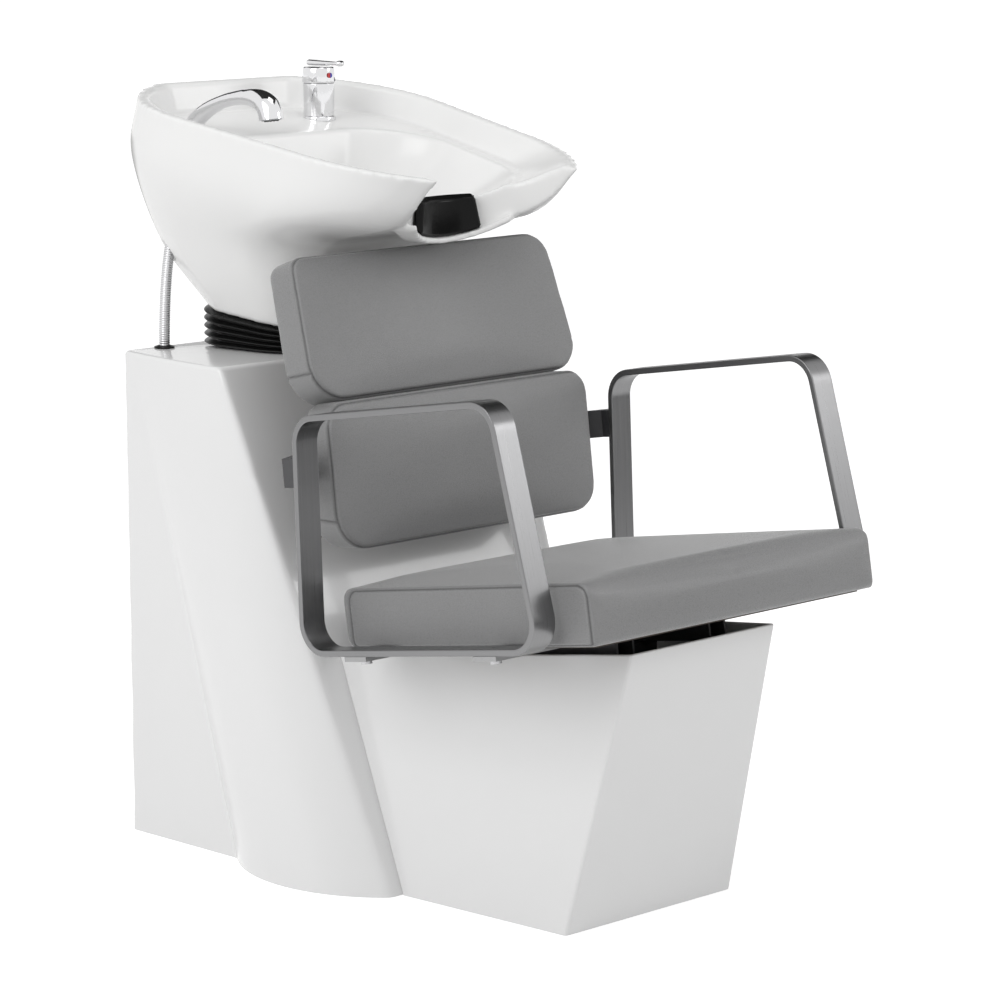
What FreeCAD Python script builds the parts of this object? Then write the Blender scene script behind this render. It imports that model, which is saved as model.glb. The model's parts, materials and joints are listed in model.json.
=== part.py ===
import FreeCAD, Part
import math
import os
import re
import Sketcher
from FreeCAD import Placement, Rotation, Vector

# A salon backwash unit: a padded chair on a shell base, with a tilting basin behind it.
# Front is -Y, the client's left is +X, the floor is z = 0. Lengths in mm, angles in degrees.

SIZES = {
    # arm loops, laid out in the seat's tilted frame, heel at the rear bottom corner
    "arm_gap": 12, "arm_bar_width": 35, "arm_bar_thick": 8, "arm_foot_length": 437,
    "arm_top_length": 362, "arm_height": 298, "arm_corner_radius": 40,
    "heel_back": -10, "heel_height": 316, "seat_tilt": 9.87,
    # seat
    "seat_width": 486, "seat_length": 436, "seat_setback": 44, "seat_foam": 66, "seat_crown": 9,
    "seat_nose_drop": 26, "seat_side_bow": 5, "board_thick": 12, "board_inset": 16,
    # straps, rails and pedestal under the seat
    "strap_thick": 6, "strap_width": 40, "strap_first_length": 105, "strap_gap": 235,
    "rail_width": 30, "rail_wall": 3, "rail_distance": 160, "rail_first_length": 70, "rail_length": 290,
    "pedestal_width": 90, "pedestal_wall": 4, "pedestal_back": -205, "pedestal_rise": 274,
    "plate_width": 230, "plate_front": -290, "plate_rear": 345, "plate_thick": 6,
    "floor_hole_x": 85, "floor_hole_front": -255, "floor_hole_rear": 150, "floor_hole_radius": 6.5,
    "bolt_radius": 4, "bolt_head_radius": 7, "bolt_head_height": 5, "bolt_play": 0.4,
    # backrest cushions: foot of each front face, its length and lean
    "back_inset": 19, "back_foam": 42, "back_crown": 7, "back_side_bow": 4, "cushion_inset": 14,
    "lower_foot_back": -12, "lower_foot_height": 442, "lower_length": 178, "lower_lean_angle": 7.7,
    "upper_foot_back": 26.7, "upper_foot_height": 627.6, "upper_length": 182, "upper_lean_angle": 19.4,
    "spine_width": 40, "spine_thick": 6, "spine_pair_width": 180, "spine_start_height": 40,
    "bar_thick": 10, "bar_height": 36, "bar_rise": 86, "bar_length": 300,
    "bracket_inset": 5, "bracket_block_width": 22, "bracket_front_gap": 0.6, "bracket_step_depth": 24,
    "bracket_elbow_length": 63,
    # front base shell
    "shell_wall": 5, "base_foot_front": -334, "base_foot_half": 145, "base_top_front": -424,
    "base_top_half": 125, "base_top_height": 364, "base_rear_half": 178, "base_rear_height": 292,
    # column shell: rear corner, start of the bulge, its swell and the front corner
    "column_height": 651, "column_rear": 404, "column_half": 242,
    "column_foot_turn_half": 227, "column_foot_turn_back": 200, "column_foot_swell_half": 264,
    "column_foot_swell_back": 60, "column_foot_front_half": 196, "column_foot_front": -70,
    "column_top_turn_half": 244, "column_top_turn_back": 384, "column_top_swell_half": 250,
    "column_top_swell_back": 292, "column_top_front_half": 249, "column_top_front": 196,
    "column_window_half": 130, "column_window_height": 60,
    # service door in the rear of the column
    "door_width": 300, "door_height": 420, "door_foot_height": 90, "door_thick": 4, "door_play": 1.5,
    "knuckle_radius": 5, "knuckle_length": 24, "knuckle_gap": 1, "knuckle_inset": 60, "hinge_pin_radius": 2.5,
    "pin_fit": 0.05, "leaf_width": 26, "leaf_thick": 2, "knob_radius": 11, "knob_depth": 16, "knob_inset": 30,
    # basin post and tilt hinge
    "post_width": 60, "post_wall": 4, "tilt_back": 296, "tilt_height": 672,
    "cheek_distance": 110, "cheek_thick": 8, "cheek_width": 44, "cheek_top": 16, "hinge_plate": 8,
    "axle_radius": 8, "axle_fit": 0.06, "lug_gap": 1, "lug_thick": 8, "lug_radius": 16,
    "cradle_thick": 5, "cradle_width": 190, "cradle_depth": 100, "yoke_depth": 170, "yoke_width": 200,
    "swing_play": 8,
    # basin
    "rim_half": 226, "rim_rear": 490, "rim_front": -79, "rim_front_height": 899, "rim_rise": 91,
    "basin_wall": 14, "foot_height": 703, "foot_half": 142, "foot_front": 206, "foot_rear": 394,
    "belly_half": 190, "belly_front": 157, "belly_rear": 452, "belly_front_height": 793, "belly_rise": -6,
    "flare_half": 228, "flare_front": 3, "flare_rear": 494, "flare_front_height": 837, "flare_rise": 75,
    "deck_depth": 38, "bowl_half": 176, "bowl_front": 15, "bowl_rear": 330,
    "bowl_mid_half": 150, "bowl_mid_front": 75, "bowl_mid_rear": 322, "bowl_mid_depth": 80,
    "bowl_floor_half": 70, "bowl_floor_front": 196, "bowl_floor_rear": 304, "bowl_floor_height": 782,
    "notch_radius": 118, "notch_back": -62, "recess_half": 200, "recess_rear": 470,
    "drain_back": 238,
    # neck rest
    "neck_thick": 14, "neck_height": 54, "neck_foot_height": 812, "neck_half_angle": 34, "neck_gap": 0.2,
    # strainer and waste
    "strainer_radius": 32, "strainer_thick": 4, "strainer_stem": 18, "waste_radius": 16,
    "waste_bore": 13, "waste_length": 122, "strainer_edge": 2, "basket_play": 0.5,
    # bellows
    "bellows_folds": 5, "bellows_fold_depth": 11, "bellows_wall": 3, "bellows_swell": 6,
    # mixer tap
    "tap_across": 92, "tap_back": 398, "tap_ring_radius": 23, "tap_ring_height": 7, "tap_radius": 21.5,
    "tap_body_height": 44, "tap_cap_radius": 23, "tap_cap_height": 22, "tap_play": 0.4, "tap_taper": 1,
    "tap_stem_radius": 6, "tap_stem_height": 9, "lever_width": 20, "lever_length": 50, "lever_thick": 6,
    "lever_rise": 3, "lever_gap": 0.6, "lever_heel": 18, "dot_radius": 3.5, "dot_thick": 1.2,
    "tail_radius": 9, "tail_length": 40,
    # hand shower, its holder and hose
    "shower_across": -122, "shower_back": 408, "holder_radius": 19, "holder_height": 8,
    "stem_radius": 9, "stem_fit": 0.5, "stem_depth": 30, "handle_radius": 11, "handle_reach": 155,
    "handle_arch": 25, "handle_drop": 8, "handle_lift": 12, "head_radius": 17, "head_length": 34,
    "head_lean": 20, "nipple_radius": 9.5,
    "hose_radius": 6.5, "hose_bore": 4.5, "hose_rib": 0.9, "hose_rib_pitch": 3,
    "hose_bend_height": 860, "hose_turn_height": 765, "hose_tail_length": 40, "hose_foot_across": -189,
    "hose_foot_back": 385, "grommet_radius": 13.5, "grommet_thick": 4, "grommet_fit": 0.3,
    # supply and waste hoses inside the column
    "supply_radius": 6, "supply_bore": 4, "supply_across": 74, "supply_back": 350, "supply_play": 1.5,
    "supply_foot_height": 120, "supply_bend_height": 760, "supply_turn_height": 880, "supply_spread": 9.5,
    "valve_radius": 8.5, "valve_length": 36, "drain_hose_radius": 19, "drain_hose_bore": 16.5,
    # shared
    "overrun": 20,
}

doc = FreeCAD.newDocument("backwash_unit")
sheet = doc.addObject("Spreadsheet::Sheet", "sizes")
for row, (name, value) in enumerate(SIZES.items(), start=1):
    sheet.set("A%d" % row, name)
    sheet.set("B%d" % row, str(value))
    sheet.setAlias("B%d" % row, name)
doc.recompute()

PARTS = []


def size(name):
    """One driving dimension, read back from the sheet."""
    return float(sheet.get(name))


def linked(formula):
    """A formula in sheet names, written the way expressions refer to the sheet."""
    return re.sub(r"\b([a-z]+(?:_[a-z]+)+|overrun)\b", r"<<sizes>>.\1", formula)


def bind(thing, prop, formula):
    thing.setExpression(prop, linked(formula))


def bind_place(thing, across, back, up):
    for prop, formula in (("x", across), ("y", back), ("z", up)):
        bind(thing, "Placement.Base." + prop, formula)


def part(thing, label):
    """Take an object as a finished sub-part under the name of its node."""
    thing.Label = label
    PARTS.append(thing)
    return thing


def box(name, lengths, corner):
    thing = doc.addObject("Part::Box", name)
    for prop, formula in zip(("Length", "Width", "Height"), lengths):
        bind(thing, prop, formula)
    bind_place(thing, *corner)
    return thing


def rod(name, radius, length, foot, turn=None):
    """A cylinder along +Z, or along the way that the turn points it."""
    thing = doc.addObject("Part::Cylinder", name)
    if turn is not None:
        thing.Placement = Placement(Vector(), turn)
    bind(thing, "Radius", radius)
    bind(thing, "Height", length)
    bind_place(thing, *foot)
    return thing


ALONG_X = Rotation(Vector(0, 1, 0), 90)
ALONG_BACK = Rotation(Vector(1, 0, 0), -90)


def cut(name, base, *tools):
    thing = doc.addObject("Part::Cut", name)
    thing.Base = base
    thing.Tool = tools[0] if len(tools) == 1 else fuse(name + "_tools", *tools)
    return thing


def fuse(name, *pieces):
    thing = doc.addObject("Part::MultiFuse", name)
    thing.Shapes = list(pieces)
    return thing


def group(name, *pieces):
    """Separate like solids that share one node."""
    thing = doc.addObject("Part::Compound", name)
    thing.Links = list(pieces)
    return thing


def made(name, shape, place=None):
    """A piece whose form neither a body nor a primitive gives."""
    thing = doc.addObject("Part::Feature", name)
    thing.Shape = shape
    if place is not None:
        thing.Placement = place
    return thing


def plane_of(body, role):
    return next(item for item in body.Origin.OriginFeatures if item.Role == role)


def sketch_of(body, name, role, points):
    """A closed polygon on an origin plane, each corner bound to two formulas."""
    sketch = body.newObject("Sketcher::SketchObject", name)
    sketch.AttachmentSupport = [(plane_of(body, role), "")]
    sketch.MapMode = "FlatFace"
    add_polygon(sketch, points)
    return sketch


def add_polygon(sketch, points):
    corners = [Vector(*[float(sheet.evalExpression(linked(f))) for f in pair], 0) for pair in points]
    first = sketch.GeometryCount
    count = len(points)
    for step in range(count):
        sketch.addGeometry(Part.LineSegment(corners[step], corners[(step + 1) % count]), False)
    for step in range(count):
        follower = first + (step + 1) % count
        sketch.addConstraint(Sketcher.Constraint("Coincident", first + step, 2, follower, 1))
    for step, pair in enumerate(points):
        for kind, formula in zip(("DistanceX", "DistanceY"), pair):
            value = float(sheet.evalExpression(linked(formula)))
            spot = sketch.addConstraint(Sketcher.Constraint(kind, -1, 1, first + step, 1, value))
            sketch.setExpression("Constraints[%d]" % spot, linked(formula))


def padded(name, role, points, length, midplane=True):
    """A body with one polygon padded square to its plane."""
    body = doc.addObject("PartDesign::Body", name)
    sketch = sketch_of(body, name + "_outline", role, points)
    pad = body.newObject("PartDesign::Pad", name + "_pad")
    pad.Profile = sketch
    bind(pad, "Length", length)
    pad.Midplane = midplane
    doc.recompute()
    return body


def turned(name, points):
    """A body turned about Z from a half profile in the XZ plane."""
    body = doc.addObject("PartDesign::Body", name)
    sketch = sketch_of(body, name + "_profile", "XZ_Plane", points)
    turn = body.newObject("PartDesign::Revolution", name + "_turn")
    turn.Profile = sketch
    turn.ReferenceAxis = (sketch, ["V_Axis"])
    turn.Angle = 360
    doc.recompute()
    return body


def polygon(points):
    return Part.makePolygon([Vector(*p) for p in points] + [Vector(*points[0])])


# Frames: the seat's tilted frame and the two cushions' leaning frames
SEAT_TURN = Rotation(Vector(1, 0, 0), -size("seat_tilt"))
SEAT_FRAME = Placement(Vector(0, size("heel_back"), size("heel_height")), SEAT_TURN)


def seat_placed(thing, across, forward, up):
    """Place a piece in the seat's frame: forward is away from the heel, up is square to the seat."""
    thing.Placement = Placement(Vector(), SEAT_TURN)
    lean = "cos(seat_tilt)", "sin(seat_tilt)"
    back = "heel_back - (%s) * %s + (%s) * %s" % (forward, lean[0], up, lean[1])
    rise = "heel_height + (%s) * %s + (%s) * %s" % (forward, lean[1], up, lean[0])
    bind_place(thing, across, back, rise)
    return thing


def back_placed(thing, row, across, back, up):
    """Place a piece in a cushion's leaning frame: back is square to its face, up is along it."""
    turn = Rotation(Vector(1, 0, 0), -size(row + "_lean_angle"))
    thing.Placement = Placement(Vector(), turn)
    cosine, sine = "cos(%s_lean_angle)" % row, "sin(%s_lean_angle)" % row
    shift = "%s_foot_back + (%s) * %s + (%s) * %s" % (row, back, cosine, up, sine)
    rise = "%s_foot_height - (%s) * %s + (%s) * %s" % (row, back, sine, up, cosine)
    bind_place(thing, across, shift, rise)
    return thing


def seat_box(name, lengths, corner):
    """A box in the seat's frame, its lengths across, forward and up."""
    thing = doc.addObject("Part::Box", name)
    for prop, formula in zip(("Length", "Width", "Height"), lengths):
        bind(thing, prop, formula)
    across, forward, up = corner
    return seat_placed(thing, across, "%s + %s" % (forward, lengths[1]), up)


def seat_rod(name, radius, length, foot):
    thing = doc.addObject("Part::Cylinder", name)
    bind(thing, "Radius", radius)
    bind(thing, "Height", length)
    return seat_placed(thing, *foot)


def back_box(name, row, lengths, corner):
    thing = doc.addObject("Part::Box", name)
    for prop, formula in zip(("Length", "Width", "Height"), lengths):
        bind(thing, prop, formula)
    return back_placed(thing, row, *corner)


# Arm loops: flat bar bent round into a closed trapezium, beside the seat
ARM_PLACE = "(seat_width / 2 + arm_gap + arm_bar_width / 2)"
ARM_REACH = "(seat_width / 2 + arm_gap + arm_bar_width)"


def arm_outline(inset):
    slant = "(arm_foot_length - arm_top_length) / 2"
    return [
        ("-(%s)" % inset, inset),
        ("-(%s) - %s" % (slant, inset), "arm_height - %s" % inset),
        ("-(arm_foot_length - %s) + %s" % (slant, inset), "arm_height - %s" % inset),
        ("-arm_foot_length + %s" % inset, inset),
    ]


def arm_loop(side, label):
    bar = label + "_bar"
    body = padded(bar, "YZ_Plane", arm_outline("0"), "arm_bar_width")
    window = sketch_of(body, bar + "_window", "YZ_Plane", arm_outline("arm_bar_thick"))
    pocket = body.newObject("PartDesign::Pocket", bar + "_pocket")
    pocket.Profile = window
    bind(pocket, "Length", "arm_bar_width + overrun")
    pocket.Midplane = True
    doc.recompute()
    inner = body.newObject("PartDesign::Fillet", bar + "_inner_bends")
    inner.Base = (pocket, [n for n, e in edges(pocket) if runs_across(e) and is_inner(e)])
    bind(inner, "Radius", "arm_corner_radius - arm_bar_thick")
    doc.recompute()
    outer = body.newObject("PartDesign::Fillet", bar + "_outer_bends")
    outer.Base = (inner, [n for n, e in edges(inner) if runs_across(e) and is_outer(e)])
    bind(outer, "Radius", "arm_corner_radius")
    body.Tip = outer
    doc.recompute()
    seat_placed(body, side + " * " + ARM_PLACE, "0", "0")
    holes = [seat_rod("%s_hole_%d" % (bar, spot), "bolt_radius + bolt_play", "arm_bar_thick + 2 * overrun",
                      (side + " * " + ARM_PLACE, formula, "-overrun"))
             for spot, formula in enumerate(STRAP_SPOTS)]
    return part(cut(label + "_drilled", body, *holes), label)


def edges(feature):
    return [("Edge%d" % n, e) for n, e in enumerate(feature.Shape.Edges, start=1)]


def runs_across(edge):
    run = edge.Vertexes[-1].Point - edge.Vertexes[0].Point
    return len(edge.Vertexes) == 2 and math.hypot(run.y, run.z) < run.Length / 100


def near_corner(edge, inset):
    """True on an edge at one of the four corners of the loop's outline, drawn in by an inset."""
    spot = edge.Vertexes[0].Point
    slant = (size("arm_foot_length") - size("arm_top_length")) / 2
    for height, lean in ((inset, 0), (size("arm_height") - inset, slant)):
        for back in (-lean - inset, lean + inset - size("arm_foot_length")):
            if math.hypot(spot.y - back, spot.z - height) < size("arm_bar_thick") / 2:
                return True
    return False


def is_inner(edge):
    return near_corner(edge, size("arm_bar_thick"))


def is_outer(edge):
    return near_corner(edge, 0)


STRAP_SPOTS = ["strap_first_length", "strap_first_length + strap_gap"]
arm_loop("-1", "arm_loop_right")
arm_loop("1", "arm_loop_left")

# Straps that carry the arms and the seat, and their bolts
straps = []
bolts = []
for spot, formula in enumerate(STRAP_SPOTS):
    bar = seat_box("strap_%d" % spot, ("2 * " + ARM_REACH, "strap_width", "strap_thick"),
                   ("-" + ARM_REACH, "%s - strap_width / 2" % formula, "-strap_thick"))
    holes = []
    for side in ("-1", "1"):
        at = side + " * " + ARM_PLACE
        name = "%s%d" % ("left" if side == "1" else "right", spot)
        holes.append(seat_rod("strap_hole_" + name, "bolt_radius + bolt_play", "strap_thick + 2 * overrun",
                              (at, formula, "-strap_thick - overrun")))
        shank = seat_rod("arm_bolt_shank_" + name, "bolt_radius", "strap_thick + arm_bar_thick",
                         (at, formula, "-strap_thick"))
        head = seat_rod("arm_bolt_head_" + name, "bolt_head_radius", "bolt_head_height",
                        (at, formula, "-strap_thick - bolt_head_height"))
        bolts.append(fuse("arm_bolt_" + name, shank, head))
    straps.append(cut("strap_drilled_%d" % spot, bar, *holes))
part(group("seat_strap_pair", *straps), "seat_straps")
part(group("arm_bolt_set", *bolts), "arm_bolts")

# Seat rails, hollow square tube, under the straps
rails = []
for side in ("-1", "1"):
    name = "left" if side == "1" else "right"
    edge = "%s * rail_distance / 2 - rail_width / 2" % side
    tube = seat_box("rail_" + name, ("rail_width", "rail_length", "rail_width"),
                    (edge, "rail_first_length", "-strap_thick - rail_width"))
    bore = seat_box("rail_bore_" + name,
                    ("rail_width - 2 * rail_wall", "rail_length + 2 * overrun", "rail_width - 2 * rail_wall"),
                    (edge + " + rail_wall", "rail_first_length - overrun",
                     "-strap_thick - rail_width + rail_wall"))
    rails.append(cut("rail_tube_" + name, tube, bore))
part(group("seat_rail_pair", *rails), "seat_rails")

# Seat board and cushion
part(seat_box("seat_panel", ("seat_width - 2 * board_inset", "seat_length - 2 * board_inset", "board_thick"),
              ("-seat_width / 2 + board_inset", "seat_setback + board_inset", "0")), "seat_board")


def cushion_form(width, length, depth, crown, bow, nose):
    """A crowned cushion lying on z = 0: side panels bow out between seams and the nose rolls down."""
    half = width / 2
    reach = width + length
    side_high = [Part.Arc(Vector(-half, -reach, 0), Vector(-half - bow, -reach, depth / 2),
                          Vector(-half, -reach, depth)).toShape(),
                 Part.Arc(Vector(-half, -reach, depth), Vector(0, -reach, depth + crown),
                          Vector(half, -reach, depth)).toShape(),
                 Part.Arc(Vector(half, -reach, depth), Vector(half + bow, -reach, depth / 2),
                          Vector(half, -reach, 0)).toShape(),
                 Part.LineSegment(Vector(half, -reach, 0), Vector(-half, -reach, 0)).toShape()]
    across = Part.Face(Part.Wire(side_high)).extrude(Vector(0, 2 * reach, 0))
    tall = depth + crown
    profile = [Part.LineSegment(Vector(-reach, 0, 0), Vector(-reach, -length, 0)).toShape(),
               Part.LineSegment(Vector(-reach, -length, 0), Vector(-reach, -length, depth - nose)).toShape(),
               Part.Arc(Vector(-reach, -length, depth - nose),
                        Vector(-reach, -length + nose * NOSE_SHARE, depth - nose * NOSE_SHARE),
                        Vector(-reach, -length + nose, depth)).toShape(),
               Part.Arc(Vector(-reach, -length + nose, depth), Vector(-reach, -length / 2, tall),
                        Vector(-reach, 0, depth)).toShape(),
               Part.Arc(Vector(-reach, 0, depth), Vector(-reach, bow, depth / 2),
                        Vector(-reach, 0, 0)).toShape()]
    along = Part.Face(Part.Wire(profile)).extrude(Vector(2 * reach, 0, 0))
    return across.common(along)


NOSE_SHARE = 1 - math.sqrt(0.5)
seat_form = cushion_form(size("seat_width"), size("seat_length"), size("seat_foam"), size("seat_crown"),
                         size("seat_side_bow"), size("seat_nose_drop"))
seat_place = SEAT_FRAME.multiply(Placement(Vector(0, -size("seat_setback"), size("board_thick")), Rotation()))
part(made("seat_pad", seat_form, seat_place), "seat_cushion")

# Backrest: two cushions on boards, carried by two spines
STAND_UP = Rotation(Vector(1, 0, 0), 90)


def back_cushion(row):
    form = cushion_form(size("seat_width") - 2 * size("back_inset"), size(row + "_length"), size("back_foam"),
                        size("back_crown"), size("back_side_bow"), size("cushion_inset"))
    lean = Rotation(Vector(1, 0, 0), -size(row + "_lean_angle"))
    foot = Placement(Vector(0, size(row + "_foot_back"), size(row + "_foot_height")), lean)
    stand = Placement(Vector(0, size("back_foam"), size(row + "_length")), STAND_UP)
    flip = Placement(Vector(), Rotation(Vector(0, 0, 1), 180))
    part(made(row + "_pad", form, foot.multiply(stand).multiply(flip).multiply(
        Placement(Vector(0, size(row + "_length"), 0), Rotation()))), row + "_back_cushion")
    part(back_box(row + "_panel", row,
                  ("seat_width - 2 * (back_inset + cushion_inset)", "board_thick",
                   row + "_length - 2 * cushion_inset"),
                  ("-seat_width / 2 + back_inset + cushion_inset", "back_foam", "cushion_inset")),
         row + "_back_board")


back_cushion("lower")
back_cushion("upper")


def back_spot(row, back, up):
    """A point of a cushion's leaning frame as two formulas, back and up in the unit's frame."""
    cosine, sine = "cos(%s_lean_angle)" % row, "sin(%s_lean_angle)" % row
    return ("%s_foot_back + (%s) * %s + (%s) * %s" % (row, back, cosine, up, sine),
            "%s_foot_height - (%s) * %s + (%s) * %s" % (row, back, sine, up, cosine))


BOARD_REAR = "back_foam + board_thick"
SPINE_REAR = "back_foam + board_thick + spine_thick"
spine_points = [
    back_spot("lower", BOARD_REAR, "spine_start_height"),
    back_spot("lower", BOARD_REAR, "lower_length - cushion_inset"),
    back_spot("upper", BOARD_REAR, "cushion_inset"),
    back_spot("upper", BOARD_REAR, "upper_length - spine_start_height"),
    back_spot("upper", SPINE_REAR, "upper_length - spine_start_height"),
    back_spot("upper", SPINE_REAR, "cushion_inset"),
    back_spot("lower", SPINE_REAR, "lower_length - cushion_inset"),
    back_spot("lower", SPINE_REAR, "spine_start_height"),
]
spines = []
for side in ("-1", "1"):
    spine = padded("spine_" + ("left" if side == "1" else "right"), "YZ_Plane", spine_points, "spine_width")
    bind_place(spine, side + " * spine_pair_width / 2", "0", "0")
    spines.append(spine)
part(group("spine_pair", *spines), "back_spines")

part(back_box("cross_bar", "lower", ("bar_length", "bar_thick", "bar_height"),
              ("-bar_length / 2", SPINE_REAR, "bar_rise")), "back_cross_bar")

BAR_REAR = SPINE_REAR + " + bar_thick"
BRACKET_REACH = "(%s - bracket_inset)" % ARM_REACH
brackets = []
for side in ("-1", "1"):
    points = [
        (side + " * " + BRACKET_REACH, "bracket_front_gap"),
        (side + " * " + BRACKET_REACH, "bracket_step_depth"),
        (side + " * (%s - bracket_elbow_length)" % BRACKET_REACH, BAR_REAR),
        (side + " * bar_length / 2", BAR_REAR),
        (side + " * bar_length / 2", SPINE_REAR),
        (side + " * (%s - bracket_elbow_length)" % BRACKET_REACH, SPINE_REAR),
        (side + " * (%s - bracket_block_width)" % BRACKET_REACH, "bracket_step_depth - bar_thick / 2"),
        (side + " * (%s - bracket_block_width)" % BRACKET_REACH, "bracket_front_gap"),
    ]
    name = "bracket_" + ("left" if side == "1" else "right")
    bracket = padded(name, "XY_Plane", points, "bar_height", False)
    brackets.append(back_placed(bracket, "lower", "0", "0", "bar_rise"))
part(group("bracket_pair", *brackets), "back_side_brackets")


# Column shell: tall box whose front corners sweep forward and swell out towards the floor
def column_section(level, inset, height):
    rear = size("column_rear") - inset
    front = size("column_%s_front" % level) + inset
    corner = size("column_half") - inset
    turn = (size("column_%s_turn_half" % level) - inset, size("column_%s_turn_back" % level))
    swell = (size("column_%s_swell_half" % level) - inset, size("column_%s_swell_back" % level))
    nose = (size("column_%s_front_half" % level) - inset, front)

    def at(side, spot):
        return Vector(side * spot[0], spot[1], height)

    runs = [Part.LineSegment(at(-1, (corner, rear)), at(1, (corner, rear))),
            Part.LineSegment(at(1, (corner, rear)), at(1, turn)),
            Part.Arc(at(1, turn), at(1, swell), at(1, nose)),
            Part.LineSegment(at(1, nose), at(-1, nose)),
            Part.Arc(at(-1, nose), at(-1, swell), at(-1, turn)),
            Part.LineSegment(at(-1, turn), at(-1, (corner, rear)))]
    return Part.Wire([run.toShape() for run in runs])


def column_form(inset, top):
    """The column's solid, kept to its own walls' slope where the top is lower."""
    wires = [column_section("foot", inset, 0), column_section("top", inset, size("column_height"))]
    solid = Part.makeLoft(wires, True, True)
    reach = size("column_half") + size("column_rear")
    trim = Part.makeBox(2 * reach, 2 * reach, size("column_height"), Vector(-reach, -reach, top))
    return solid.cut(trim) if top < size("column_height") else solid


wall = size("shell_wall")
column_solid = made("column_solid", column_form(0, size("column_height")))
column_hollow = made("column_hollow", column_form(wall, size("column_height") - wall))
window = box("column_window", ("2 * column_window_half", "2 * overrun + column_window_height",
                               "column_window_height"),
             ("-column_window_half", "column_foot_front - overrun", "0"))
doorway = box("column_doorway", ("door_width", "2 * overrun", "door_height"),
              ("-door_width / 2", "column_rear - overrun", "door_foot_height"))
hatch = box("column_hatch", ("yoke_width + 2 * door_play", "yoke_depth + 2 * door_play", "2 * overrun"),
            ("-yoke_width / 2 - door_play", "tilt_back - yoke_depth / 2 - door_play",
             "column_height - overrun"))
hose_hole = rod("column_hose_hole", "hose_radius + hose_rib + grommet_thick", "2 * overrun",
                ("hose_foot_across", "hose_foot_back", "column_height - overrun"))
part(cut("column_open", column_solid, column_hollow, window, doorway, hatch, hose_hole), "column_shell")


# Front base shell: a flat-sided box, open above and below, against the column's front
def base_block(inset, lift):
    """The base's outer or inner block, its rear on the column's sloping front."""
    slope = (size("column_top_front") - size("column_foot_front")) / size("column_height")

    def rear(height):
        return size("column_foot_front") + slope * height

    foot_front = size("base_foot_front") + inset
    foot_half = size("base_foot_half") - inset
    top_front = size("base_top_front") + inset
    top_half = size("base_top_half") - inset
    rear_half = size("base_rear_half") - inset
    high = size("base_top_height") + lift
    low = size("base_rear_height") + lift
    grow = lift / size("base_top_height")
    drop = (foot_front - top_front) * grow
    front = polygon([(-foot_half, foot_front + drop, -lift), (foot_half, foot_front + drop, -lift),
                     (top_half, top_front - drop, high), (-top_half, top_front - drop, high)])
    back = polygon([(-rear_half, rear(-lift), -lift), (rear_half, rear(-lift), -lift),
                    (rear_half, rear(low), low), (-rear_half, rear(low), low)])
    return Part.makeLoft([back, front], True, True)


base_solid = made("base_solid", base_block(0, 0))
base_hollow = made("base_hollow", base_block(wall, size("overrun")))
part(cut("base_open", base_solid, base_hollow), "front_base_shell")

# Floor plate with its fixing holes and bolts, pedestal and saddle
plate = box("plate_blank", ("plate_width", "plate_rear - plate_front", "plate_thick"),
            ("-plate_width / 2", "plate_front", "0"))
plate_holes = []
for row in ("front", "rear"):
    for side in ("-1", "1"):
        name = row + ("_left" if side == "1" else "_right")
        at = (side + " * floor_hole_x", "floor_hole_" + row)
        plate_holes.append(rod("floor_hole_" + name, "floor_hole_radius", "plate_thick + 2 * overrun",
                               at + ("-overrun",)))
plate_holes.append(rod("plate_drain_way", "drain_hose_bore", "plate_thick + 2 * overrun",
                       ("0", "drain_back", "-overrun")))
part(cut("plate_drilled", plate, *plate_holes), "floor_plate")

pedestal = box("pedestal_tube", ("pedestal_width", "pedestal_width", "pedestal_rise"),
               ("-pedestal_width / 2", "pedestal_back - pedestal_width / 2", "plate_thick"))
PEDESTAL_INSIDE = "pedestal_width - 2 * pedestal_wall"
pedestal_bore = box("pedestal_bore", (PEDESTAL_INSIDE, PEDESTAL_INSIDE, "pedestal_rise + 2 * overrun"),
                    ("-pedestal_width / 2 + pedestal_wall",
                     "pedestal_back - pedestal_width / 2 + pedestal_wall", "plate_thick - overrun"))
part(cut("pedestal_hollow", pedestal, pedestal_bore), "seat_pedestal")

RAIL_FOOT = "-strap_thick - rail_width"


def under_rails(back):
    """Height of the rails' underside above a place along the unit."""
    return ("heel_height + (%s) / cos(seat_tilt) - ((%s) - heel_back) * tan(seat_tilt)" % (RAIL_FOOT, back))


SADDLE_FRONT = "pedestal_back - pedestal_width / 2"
SADDLE_REAR = "pedestal_back + pedestal_width / 2"
saddle_points = [(SADDLE_FRONT, "plate_thick + pedestal_rise"), (SADDLE_REAR, "plate_thick + pedestal_rise"),
                 (SADDLE_REAR, under_rails(SADDLE_REAR)), (SADDLE_FRONT, under_rails(SADDLE_FRONT))]
part(padded("saddle", "YZ_Plane", saddle_points, "rail_distance + rail_width"), "seat_saddle")

# Basin post, yoke, axle and cradle
post = box("post_tube", ("post_width", "post_width", "column_height - hinge_plate - plate_thick"),
           ("-post_width / 2", "tilt_back - post_width / 2", "plate_thick"))
post_bore = box("post_bore", ("post_width - 2 * post_wall", "post_width - 2 * post_wall",
                              "column_height + 2 * overrun"),
                ("-post_width / 2 + post_wall", "tilt_back - post_width / 2 + post_wall", "-overrun"))
part(cut("post_hollow", post, post_bore), "basin_post")

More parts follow.
